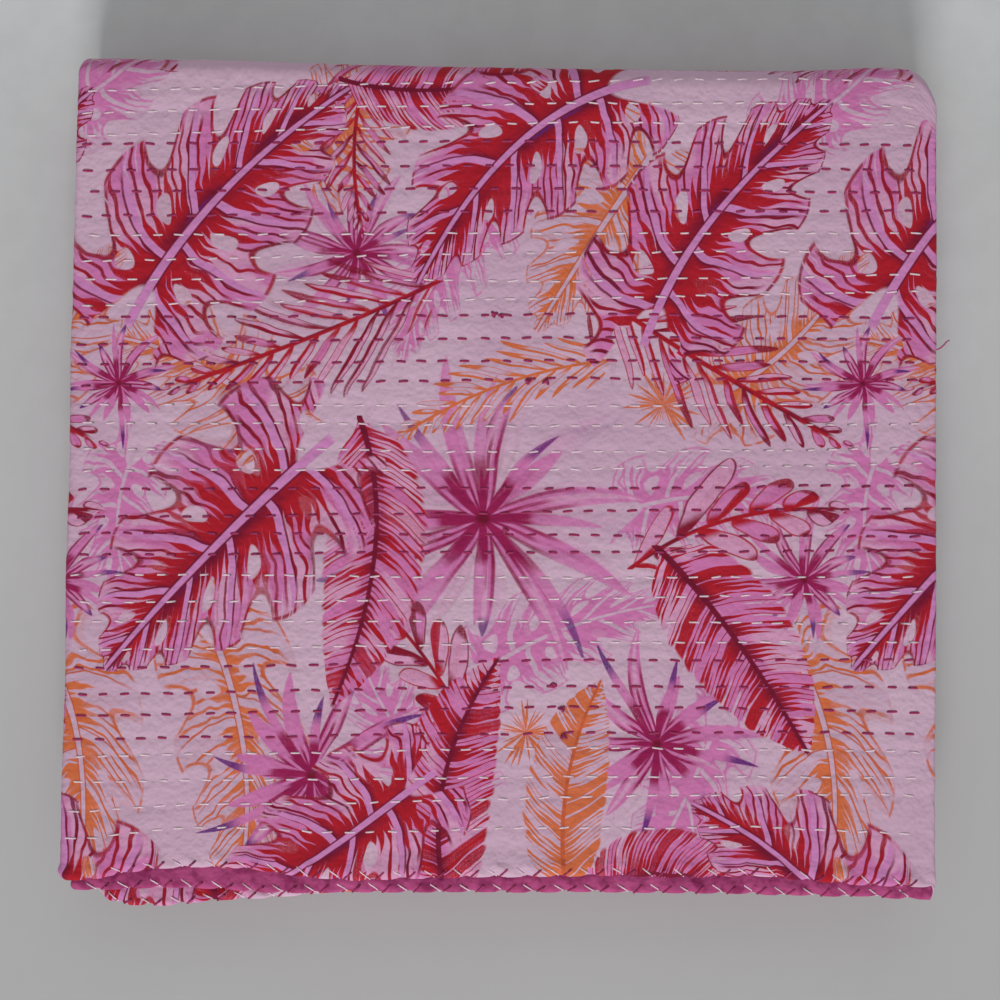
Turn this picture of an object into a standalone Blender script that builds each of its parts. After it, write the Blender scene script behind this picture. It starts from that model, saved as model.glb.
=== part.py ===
"""A printed kantha quilt, folded for the shelf: one stitched cotton sheet in one closed body.

The sheet is folded in half twice along its length, which makes a packet of four plies, and that
packet is folded back and forth four times across.  Both foldings are one mapping: a section path
(x, h) across the quilt is carried along a zigzag path (y, z) down its length.

+X is the right side, +Y the back folds, -Y the hems of the top packet, +Z up.  The underside lies
on z = 0.  Lengths are in metres.
"""

import math
from typing import NamedTuple

import bmesh
import bpy

# The packet as it lies.
FOLDED_WIDTH = 0.575
TOP_PLY_DEPTH = 0.540
PACKETS = 5
PLIES_PER_PACKET = 4
PLY_THICKNESS = 0.0024
PLY_GAP = 0.0008

# Running-stitch rows of the top packet, which press the cloth thin from both faces.
ROWS = 35
ROW_PITCH = 0.01447
FIRST_ROW = 0.0275
ROW_DEPTH = 0.0005

# How the folds lie inside one another.
INNER_FOLD_INSET = 0.020
OPEN_HEM_INSET = 0.002
FRONT_FOLD_INSET = 0.008
BACK_HEM_INSET = 0.010
SLIP_RUN = 0.180

# The packet's soft, uneven lie.
LEAN = 0.0115
CROWN = 0.045
LOW_X = 0.130
CORNER_X = 0.262

# Steps along curves and flats.
SMALL_FOLD_STEPS = 3
LARGE_FOLD_STEPS = 5
CROSS_FOLD_STEPS = 5
HIDDEN_FLAT_STEPS = 3

# Worked out from the sizes above.
PLY_PITCH = PLY_THICKNESS + PLY_GAP
HALF_PLY = PLY_THICKNESS / 2
CROSS_RADIUS = PLIES_PER_PACKET * PLY_PITCH / 2
PACKET_REACH = CROSS_RADIUS - PLY_GAP / 2
CROSS_REACH = CROSS_RADIUS + PACKET_REACH
STACK_HEIGHT = 2 * PACKET_REACH + (PACKETS - 1) * 2 * CROSS_RADIUS
HALF_WIDTH = FOLDED_WIDTH / 2
OUTER_FOLD_X = -HALF_WIDTH + 1.5 * PLY_PITCH + HALF_PLY
INNER_FOLD_X = OUTER_FOLD_X + INNER_FOLD_INSET
RIGHT_FOLD_X = HALF_WIDTH - 0.5 * PLY_PITCH - HALF_PLY
OPEN_HEM_X = RIGHT_FOLD_X - OPEN_HEM_INSET
FRONT_HEM_Y = -TOP_PLY_DEPTH / 2
BACK_FOLD_Y = TOP_PLY_DEPTH / 2 - CROSS_REACH
FRONT_FOLD_Y = FRONT_HEM_Y + CROSS_REACH + FRONT_FOLD_INSET
BACK_HEM_Y = TOP_PLY_DEPTH / 2 - BACK_HEM_INSET

PRINT_COLOUR = (0.56, 0.12, 0.26, 1.0)
COTTON_ROUGHNESS = 0.9


class Ply(NamedTuple):
    """One ply of the packet, in the order in which the cloth runs."""

    level: float       # height above the packet's middle, in ply pitches
    left_x: float      # where its flat run ends on the left
    right_x: float     # where its flat run ends on the right
    heading: int       # -1 runs to the left, +1 to the right
    slip_left: float   # how far its front hem lies ahead of the top ply's, at the left
    slip_middle: float
    slip_right: float


class EdgeStation(NamedTuple):
    """The line of the back folds at one place across the packet."""

    x: float
    back: float        # distance behind (+) or short of (-) a straight line
    trail: float       # how much further back the lowest fold lies than the top one


class SectionPoint(NamedTuple):
    """A point on the cloth's middle line in the section across the quilt."""

    x: float
    h: float
    normal_x: float    # unit normal out of the printed face
    normal_h: float
    slip: float


class ZigzagPoint(NamedTuple):
    """A point on the packet's middle line down the quilt's length."""

    y: float
    z: float
    normal_y: float    # unit normal out of the packet's top ply
    normal_z: float
    half: float        # half the cloth's thickness here
    loose: float       # share of the hem's slip that is left here


PLIES = (
    Ply(-0.5, INNER_FOLD_X, OPEN_HEM_X, -1, 0.0145, 0.0040, 0.0040),
    Ply(0.5, INNER_FOLD_X, RIGHT_FOLD_X, 1, 0.0085, 0.0085, 0.0120),
    Ply(1.5, OUTER_FOLD_X, RIGHT_FOLD_X, -1, 0.0000, 0.0000, 0.0030),
    Ply(-1.5, OUTER_FOLD_X, OPEN_HEM_X, 1, 0.0040, 0.0020, 0.0020),
)

BACK_LINE = (
    EdgeStation(-HALF_WIDTH, 0.0000, 0.010),
    EdgeStation(LOW_X, -0.0090, 0.016),
    EdgeStation(CORNER_X, -0.0040, 0.010),
    EdgeStation(HALF_WIDTH, -0.0270, 0.006),
)


def ease(share: float) -> float:
    """Return a smooth 0 to 1 step for a share along a run."""
    share = min(max(share, 0.0), 1.0)
    return share * share * (3.0 - 2.0 * share)


def mix(start: float, end: float, share: float) -> float:
    """Return the value a share of the way from start to end."""
    return start + (end - start) * share


def back_line(x: float) -> tuple[float, float]:
    """Return how the back folds stand and trail at x."""
    for left, right in zip(BACK_LINE, BACK_LINE[1:]):
        if x <= right.x:
            break
    share = min(max((x - left.x) / (right.x - left.x), 0.0), 1.0)
    return mix(left.back, right.back, share), mix(left.trail, right.trail, share)


def flat_run(ply: Ply) -> list[SectionPoint]:
    """Return one ply's flat run; all plies share the stations between its two ends."""
    stations = [
        (ply.left_x, ply.slip_left),
        (LOW_X, ply.slip_middle),
        (CORNER_X, ply.slip_middle),
        (ply.right_x, ply.slip_right),
    ]
    return [
        SectionPoint(x, ply.level * PLY_PITCH, 0.0, -ply.heading, slip)
        for x, slip in stations[::ply.heading]
    ]


def side_fold(before: Ply, after: Ply) -> list[SectionPoint]:
    """Return the points between two plies around the fold that joins them."""
    radius = abs(after.level - before.level) * PLY_PITCH / 2
    steps = SMALL_FOLD_STEPS if radius < PLY_PITCH else LARGE_FOLD_STEPS
    middle = (after.level + before.level) * PLY_PITCH / 2
    rising = 1 if after.level > before.level else -1
    if before.heading > 0:
        centre, start, end = before.right_x, before.slip_right, after.slip_right
    else:
        centre, start, end = before.left_x, before.slip_left, after.slip_left
    printed_side = 1 if before.heading * rising > 0 else -1
    points = []
    for step in range(1, steps):
        angle = math.pi * step / steps
        out_x = before.heading * math.sin(angle)
        out_h = -rising * math.cos(angle)
        points.append(SectionPoint(
            centre + radius * out_x,
            middle + radius * out_h,
            printed_side * out_x,
            printed_side * out_h,
            mix(start, end, step / steps),
        ))
    return points


def section_path() -> list[SectionPoint]:
    """Return the cloth's middle line across the quilt, from one long hem to the other."""
    points = flat_run(PLIES[0])
    for before, after in zip(PLIES, PLIES[1:]):
        points += side_fold(before, after)
        points += flat_run(after)
    return points


def top_run(z: float) -> list[ZigzagPoint]:
    """Return the top packet's run from its hems to the back fold, with its stitched rows."""
    marks = [(0.0, HALF_PLY), (FIRST_ROW - ROW_PITCH / 2, HALF_PLY)]
    for row in range(ROWS):
        at_row = FIRST_ROW + row * ROW_PITCH
        marks.append((at_row, HALF_PLY - ROW_DEPTH))
        marks.append((at_row + ROW_PITCH / 2, HALF_PLY))
    marks = marks[:-1]
    return [
        ZigzagPoint(FRONT_HEM_Y + along, z, 0.0, 1.0, half, 1.0 - ease(along / SLIP_RUN))
        for along, half in marks
    ]


def flat_packet(z: float, start_y: float, end_y: float) -> list[ZigzagPoint]:
    """Return a lower packet's run between two crosswise folds."""
    up = 1.0 if end_y > start_y else -1.0
    return [
        ZigzagPoint(mix(start_y, end_y, step / HIDDEN_FLAT_STEPS), z, 0.0, up, HALF_PLY, 0.0)
        for step in range(HIDDEN_FLAT_STEPS + 1)
    ]


def cross_fold(y: float, z: float, side: int) -> list[ZigzagPoint]:
    """Return a fold down to the next packet; side is +1 at the back and -1 at the front."""
    points = []
    for step in range(1, CROSS_FOLD_STEPS):
        angle = math.pi * step / CROSS_FOLD_STEPS
        out_y = side * math.sin(angle)
        out_z = math.cos(angle)
        points.append(ZigzagPoint(
            y + CROSS_RADIUS * out_y,
            z - CROSS_RADIUS + CROSS_RADIUS * out_z,
            side * out_y,
            side * out_z,
            HALF_PLY,
            0.0,
        ))
    return points


def zigzag_path() -> list[ZigzagPoint]:
    """Return the packet's middle line from the top hems to the bottom ones."""
    z = STACK_HEIGHT - PACKET_REACH
    points = top_run(z)
    points.append(ZigzagPoint(BACK_FOLD_Y, z, 0.0, 1.0, HALF_PLY, 0.0))
    points += cross_fold(BACK_FOLD_Y, z, 1)
    for packet in range(1, PACKETS):
        z -= 2 * CROSS_RADIUS
        last = packet == PACKETS - 1
        if packet % 2:
            points += flat_packet(z, BACK_FOLD_Y, FRONT_FOLD_Y)
            points += cross_fold(FRONT_FOLD_Y, z, -1)
        else:
            points += flat_packet(z, FRONT_FOLD_Y, BACK_HEM_Y if last else BACK_FOLD_Y)
            if not last:
                points += cross_fold(BACK_FOLD_Y, z, 1)
    return points


def settle(x: float, y: float, z: float) -> tuple[float, float, float]:
    """Return where a point of the square packet lies once the cloth has sunk and leaned."""
    back, trail = back_line(x)
    at_back = ease(y / (TOP_PLY_DEPTH / 2))
    lowness = 1.0 - z / STACK_HEIGHT
    swell = 1.0 - (x / HALF_WIDTH) ** 2
    return (
        x + LEAN * y,
        y + at_back * (back + trail * lowness),
        z * (1.0 + CROWN * max(swell, 0.0)),
    )


def place(point: SectionPoint, along: ZigzagPoint, face: float) -> tuple[float, float, float]:
    """Return a point of the printed face (face = 1) or of the reverse (face = -1)."""
    x = point.x + face * along.half * point.normal_x
    h = point.h + face * along.half * point.normal_h
    y = along.y + h * along.normal_y - point.slip * along.loose
    z = along.z + h * along.normal_z
    return settle(x, y, z)


def centre_footprint(bm: bmesh.types.BMesh) -> None:
    """Move the mesh so that the middle of its footprint is the origin."""
    across = [vert.co.x for vert in bm.verts]
    along = [vert.co.y for vert in bm.verts]
    middle_x = (min(across) + max(across)) / 2
    middle_y = (min(along) + max(along)) / 2
    bmesh.ops.translate(bm, vec=(-middle_x, -middle_y, 0.0), verts=bm.verts[:])


def quilt_mesh() -> bpy.types.Mesh:
    """Return the folded sheet as a closed mesh."""
    section = section_path()
    zigzag = zigzag_path()
    columns = len(section) - 1
    rows = len(zigzag) - 1
    bm = bmesh.new()
    bmesh.ops.create_grid(bm, x_segments=columns, y_segments=rows, size=1.0)
    sheet = bm.faces[:]
    raised = bmesh.ops.extrude_face_region(bm, geom=sheet, use_keep_orig=True)
    printed = [item for item in raised["geom"] if isinstance(item, bmesh.types.BMVert)]
    bmesh.ops.translate(bm, vec=(0.0, 0.0, 1.0), verts=printed)
    bmesh.ops.recalc_face_normals(bm, faces=bm.faces[:])
    for vert in bm.verts:
        column = round((vert.co.x + 1.0) / 2.0 * columns)
        row = round((vert.co.y + 1.0) / 2.0 * rows)
        face = 1.0 if vert.co.z > 0.5 else -1.0
        vert.co = place(section[column], zigzag[row], face)
    centre_footprint(bm)
    if bm.calc_volume(signed=True) < 0.0:
        bmesh.ops.reverse_faces(bm, faces=bm.faces[:])
    bmesh.ops.triangulate(bm, faces=bm.faces[:], quad_method="FIXED")
    mesh = bpy.data.meshes.new("quilt")
    bm.to_mesh(mesh)
    bm.free()
    mesh.shade_smooth()
    return mesh


def cotton_material() -> bpy.types.Material:
    """Return the printed cotton's plain material."""
    material = bpy.data.materials.new("printed_cotton")
    material.use_nodes = True
    shader = material.node_tree.nodes["Principled BSDF"]
    shader.inputs["Base Color"].default_value = PRINT_COLOUR
    shader.inputs["Roughness"].default_value = COTTON_ROUGHNESS
    shader.inputs["Metallic"].default_value = 0.0
    return material


def main() -> None:
    """Build the quilt in an empty scene."""
    for old in list(bpy.data.objects):
        bpy.data.objects.remove(old, do_unlink=True)
    quilt = bpy.data.objects.new("quilt", quilt_mesh())
    quilt.data.materials.append(cotton_material())
    bpy.context.scene.collection.objects.link(quilt)


main()
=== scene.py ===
"""Dress the folded kantha quilt: printed cloth, plain reverse, running stitch and overcast hems."""

import logging
import math
from dataclasses import dataclass, field
from enum import Enum
from typing import Iterable, NamedTuple, Sequence

import bmesh
import bpy
import numpy as np
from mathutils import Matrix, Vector


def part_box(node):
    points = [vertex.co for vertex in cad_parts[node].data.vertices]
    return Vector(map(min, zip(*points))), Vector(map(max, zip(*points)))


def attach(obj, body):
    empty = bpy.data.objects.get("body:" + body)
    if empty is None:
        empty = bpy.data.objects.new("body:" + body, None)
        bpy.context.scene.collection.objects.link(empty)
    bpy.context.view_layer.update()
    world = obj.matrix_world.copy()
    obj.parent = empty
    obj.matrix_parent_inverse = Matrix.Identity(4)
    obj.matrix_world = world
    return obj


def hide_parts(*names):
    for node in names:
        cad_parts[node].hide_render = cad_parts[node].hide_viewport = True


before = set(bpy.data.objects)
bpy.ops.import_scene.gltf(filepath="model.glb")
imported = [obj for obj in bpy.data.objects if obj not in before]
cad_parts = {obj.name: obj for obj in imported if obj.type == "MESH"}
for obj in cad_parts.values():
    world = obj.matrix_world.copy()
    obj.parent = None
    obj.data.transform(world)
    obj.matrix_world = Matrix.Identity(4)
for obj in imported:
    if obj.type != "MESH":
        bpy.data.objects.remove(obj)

LOG = logging.getLogger("quilt")
NODE = "quilt"
BODY = "root"
MM = 0.001
ON_FLOOR = 0.02 * MM
Array = np.ndarray
Mesh = bpy.types.Mesh
Material = bpy.types.Material
Socket = bpy.types.NodeSocket
Point = tuple[float, float, float]


def ease(share: Array) -> Array:
    """Return a smooth 0 to 1 step for a share along a run."""
    share = np.clip(share, 0.0, 1.0)
    return share * share * (3.0 - 2.0 * share)


def hashed(*keys: float) -> float:
    """Return a steady pseudo-random number from 0 to 1 for a set of keys."""
    mixed = sum(key * weight for key, weight in zip(keys, (12.9898, 78.233, 37.719, 9.151)))
    return math.modf(abs(math.sin(mixed) * 43758.5453))[0]


def value_noise(x: Array, y: Array, seed: float) -> Array:
    """Return smooth noise from -1 to 1 over a plane.

    Args:
        x: First coordinate, one lump per unit.
        y: Second coordinate, of the same shape as x.
        seed: Picks another pattern.

    Returns:
        The noise at each point.
    """
    column, row = np.floor(x), np.floor(y)
    across, up = ease(x - column), ease(y - row)

    def corner(i: Array, j: Array) -> Array:
        """Return the lattice value at a corner."""
        raw = np.sin(i * 127.1 + j * 311.7 + seed * 74.7) * 43758.5453
        return (raw - np.floor(raw)) * 2.0 - 1.0

    low = corner(column, row) * (1 - across) + corner(column + 1, row) * across
    high = corner(column, row + 1) * (1 - across) + corner(column + 1, row + 1) * across
    return low * (1 - up) + high * up


class Waves(NamedTuple):
    """Soft random waves over the cloth."""

    across: float     # metres from wave to wave, one way
    along: float      # and the other way
    seed: float
    shift: float = 0.0

    def at(self, x: Array, y: Array) -> Array:
        """Return the waves' height at places, from -1 to 1."""
        return value_noise(x / self.across + self.shift, y / self.along, self.seed)

    def line(self, x: Array, lane: float) -> Array:
        """Return the waves' height along one lane, where only x changes it."""
        return value_noise(x / self.across, x * 0.0 + lane, self.seed)


def places_of(mesh: Mesh) -> Array:
    """Return the place of each vertex of a mesh.

    Args:
        mesh: The mesh.

    Returns:
        An array with a row of three coordinates for each vertex.
    """
    places = np.zeros(len(mesh.vertices) * 3, dtype=np.float32)
    mesh.vertices.foreach_get("co", places)
    return places.reshape(-1, 3).astype(float)


def corners_of(mesh: Mesh) -> Array:
    """Return the four vertices of each face of a mesh of four-sided faces.

    Args:
        mesh: The mesh.

    Returns:
        An array with a row of four vertex numbers for each face.
    """
    corners = np.zeros(len(mesh.polygons) * 4, dtype=np.int32)
    mesh.loops.foreach_get("vertex_index", corners)
    return corners.reshape(-1, 4)


def stand(name: str, data: bpy.types.ID) -> bpy.types.Object:
    """Return a new object in the scene that holds a mesh, a light or a camera.

    Args:
        name: The object's name.
        data: What it holds.

    Returns:
        The object, at the origin.
    """
    made = bpy.data.objects.new(name, data)
    bpy.context.scene.collection.objects.link(made)
    return made


# ---- The cloth and its folds ----

class Ply(NamedTuple):
    """One ply of the packet, in the order in which the cloth runs."""

    level: float      # height above the packet's middle, in ply pitches
    left_x: float
    right_x: float
    heading: int      # -1 runs to the left, +1 to the right
    slip_left: float  # how far its front hem lies ahead of the top ply's, at the left
    slip_middle: float
    slip_right: float


class EdgeStation(NamedTuple):
    """The line of the back folds at one place across the packet."""

    x: float
    back: float       # distance behind (+) or short of (-) a straight line
    trail: float      # how much further back the lowest fold lies than the top one
    corner: float     # how far the corner is rounded off


class HemStation(NamedTuple):
    """How far each ply's front hem lies ahead of a straight line, in millimetres."""

    x: float          # to the right of the packet's middle, in metres
    first: float
    second: float
    third: float      # the top ply
    fourth: float


class Crease(NamedTuple):
    """A soft trough pressed into the top ply, in millimetres."""

    x: float          # its middle, to the right of the packet's middle
    y: float          # its middle, above the front hem
    turn: float       # degrees from the crosswise direction
    length: float
    width: float
    depth: float


class StitchRow(NamedTuple):
    """How far one row of stitches lies above the front hem, in millimetres."""

    left: float       # at ROW_LEFT_X
    middle: float     # at ROW_MIDDLE_X
    right: float      # at ROW_RIGHT_X


@dataclass(frozen=True)
class QuiltSizes:
    """The folded quilt's sizes, in metres, as its solid has them."""

    folded_width: float = 0.575
    top_ply_depth: float = 0.540
    packets: int = 5
    plies: int = 4
    ply_thickness: float = 0.0024
    ply_gap: float = 0.0008
    inner_fold_inset: float = 0.020
    fold_drawn_out: float = 0.015
    open_hem_inset: float = 0.002
    front_fold_inset: float = 0.008
    back_hem_inset: float = 0.010
    slip_run: float = 0.180
    wander_run: float = 0.065
    lean: float = 0.0128
    crown: float = 0.045
    wavy_below: float = 0.050
    wavy_fade: float = 0.008
    front_sway: float = 0.0015
    side_sway: float = 0.0009
    side_from: float = 0.200
    side_blend: float = 0.070
    back_blur: float = 0.008
    corner_blur: float = 0.002
    low_x: float = 0.130
    corner_x: float = 0.262
    corner_reach: float = 0.070
    row_pitch: float = 0.01447

    @property
    def pitch(self) -> float:
        """Return the height from one ply to the next."""
        return self.ply_thickness + self.ply_gap

    @property
    def half_ply(self) -> float:
        """Return half the cloth's thickness."""
        return self.ply_thickness / 2

    @property
    def cross_radius(self) -> float:
        """Return the crosswise folds' radius at the packet's middle."""
        return self.plies * self.pitch / 2

    @property
    def packet_reach(self) -> float:
        """Return the height from a packet's middle to its outer face."""
        return self.cross_radius - self.ply_gap / 2

    @property
    def cross_reach(self) -> float:
        """Return how far a crosswise fold's outer face stands from its centre."""
        return self.cross_radius + self.packet_reach

    @property
    def height(self) -> float:
        """Return the stack's height before it swells."""
        return 2 * self.packet_reach + (self.packets - 1) * 2 * self.cross_radius

    @property
    def half_width(self) -> float:
        """Return half the folded width."""
        return self.folded_width / 2

    @property
    def outer_x(self) -> float:
        """Return the centre of the outer side fold, on the left."""
        return -self.half_width + 1.5 * self.pitch + self.half_ply

    @property
    def right_x(self) -> float:
        """Return the centre of the side fold on the right."""
        return self.half_width - 0.5 * self.pitch - self.half_ply

    @property
    def plies_table(self) -> tuple[Ply, ...]:
        """List the plies in the order in which the cloth runs.

        Returns:
            The four plies.
        """
        inner = self.outer_x + self.inner_fold_inset - self.fold_drawn_out
        hem = self.right_x - self.open_hem_inset
        return (
            Ply(-0.5, inner, hem, -1, 0.0145, 0.0040, 0.0040),
            Ply(0.5, inner, self.right_x, 1, 0.0085, 0.0085, 0.0120),
            Ply(1.5, self.outer_x, self.right_x, -1, 0.0000, 0.0000, 0.0030),
            Ply(-1.5, self.outer_x, hem, 1, 0.0040, 0.0020, 0.0020),
        )


FRONT_WAVES = Waves(0.085, 0.011, 61.0)
SIDE_WAVES = Waves(0.070, 0.009, 62.0)
SIDES_APART = 5.0      # keeps the left side's waves unlike the right side's

BACK_LINE = tuple(EdgeStation(*row) for row in (
    (-0.300, 0.0015, 0.0100, 0.0), (-0.190, 0.0004, 0.0060, 0.0), (-0.097, -0.0029, 0.0060, 0.0),
    (0.002, -0.0058, 0.0110, 0.0), (0.081, -0.0078, 0.0160, 0.0), (0.147, -0.0093, 0.0180, 0.0),
    (0.194, -0.0087, 0.0170, 0.0), (0.220, -0.0073, 0.0140, 0.0), (0.247, -0.0043, 0.0110, 0.0010),
    (0.263, -0.0028, 0.0100, 0.0024), (0.270, -0.0023, 0.0095, 0.0036),
    (0.2760, -0.0023, 0.0080, 0.0058), (0.2810, -0.0023, 0.0070, 0.0105),
    (0.2850, -0.0023, 0.0065, 0.0175), (0.2875, -0.0023, 0.0060, 0.0255),
))

HEM_LINES = tuple(HemStation(*row) for row in (
    (-0.287, 11.8, 12.3, 6.1, 7.0), (-0.262, 12.3, 12.5, 5.3, 7.0), (-0.256, 19.7, 12.3, 3.1, 7.0),
    (-0.240, 23.0, 11.5, 0.9, 7.0), (-0.221, 23.0, 10.9, -1.7, 7.0),
    (-0.196, 20.0, 11.3, -3.1, 6.5), (-0.172, 18.4, 12.7, -2.5, 6.0),
    (-0.147, 16.8, 13.9, -0.5, 6.0), (-0.122, 14.6, 14.5, 2.7, 5.0),
    (-0.097, 12.6, 13.2, 3.9, 5.0), (0.002, 9.3, 13.1, 2.7, 5.0), (0.101, 9.3, 14.1, 2.7, 5.0),
    (0.169, 9.3, 14.7, 1.5, 5.0), (0.194, 9.3, 14.7, 3.9, 5.0), (0.218, 9.3, 15.2, 5.9, 5.0),
    (0.243, 9.3, 16.3, 7.9, 5.0), (0.268, 10.3, 18.5, 9.9, 5.0), (0.287, 10.3, 19.5, 10.7, 5.0),
))

ROW_LEFT_X = -0.236
ROW_MIDDLE_X = 0.042
ROW_RIGHT_X = 0.240

STITCH_ROWS = tuple(StitchRow(*row) for row in (
    (538.9, 542.0, 538.7), (518.5, 524.4, 524.4), (503.7, 509.2, 509.0), (488.3, 495.9, 495.4),
    (481.9, 483.2, 481.2), (464.3, 467.5, 464.9), (450.1, 451.6, 449.1), (433.6, 436.5, 436.9),
    (421.1, 421.9, 422.0), (403.9, 409.2, 409.8), (390.7, 389.7, 394.0), (374.1, 378.5, 382.7),
    (365.5, 367.5, 365.5), (348.3, 352.3, 351.0), (334.5, 336.6, 336.0), (320.6, 324.6, 323.9),
    (307.4, 306.2, 308.0), (295.5, 293.0, 294.8), (278.3, 275.9, 278.3), (264.1, 264.5, 267.7),
    (251.8, 251.8, 253.8), (233.3, 236.4, 238.0), (222.4, 220.8, 220.1), (208.2, 210.1, 210.9),
    (195.0, 193.0, 193.7), (177.1, 179.1, 183.1), (164.6, 164.6, 162.9), (146.1, 150.9, 151.0),
    (134.2, 138.9, 138.8), (117.0, 122.1, 121.2), (103.1, 108.5, 105.8), (87.9, 91.4, 91.4),
    (76.7, 82.0, 80.0), (59.8, 63.0, 62.8), (43.0, 50.3, 51.6), (27.1, 31.3, 31.1),
))
ROWS_OF_ONE_THREAD = 4
ROWS_LEVEL_LEFT_OF = -0.27

CREASES = tuple(Crease(*row) for row in (
    (222, 118, 88, 60, 5, 0.9), (238, 112, 84, 50, 4, 0.7), (-20, 300, 4, 130, 6, 0.8),
    (-170, 62, 78, 60, 6, 0.8), (60, 92, 3, 150, 6, 0.9), (180, 70, -5, 120, 6, 0.7),
    (-60, 225, 8, 90, 6, 0.6), (20, 215, -4, 110, 5, 0.8), (215, 500, -14, 90, 8, 0.9),
    (-215, 505, 10, 70, 6, 0.6), (120, 196, 6, 80, 5, 0.6), (-250, 40, 12, 60, 6, 0.7),
    (250, 520, -40, 60, 7, 1.0), (-30, 18, 2, 140, 5, 0.8),
))


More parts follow.
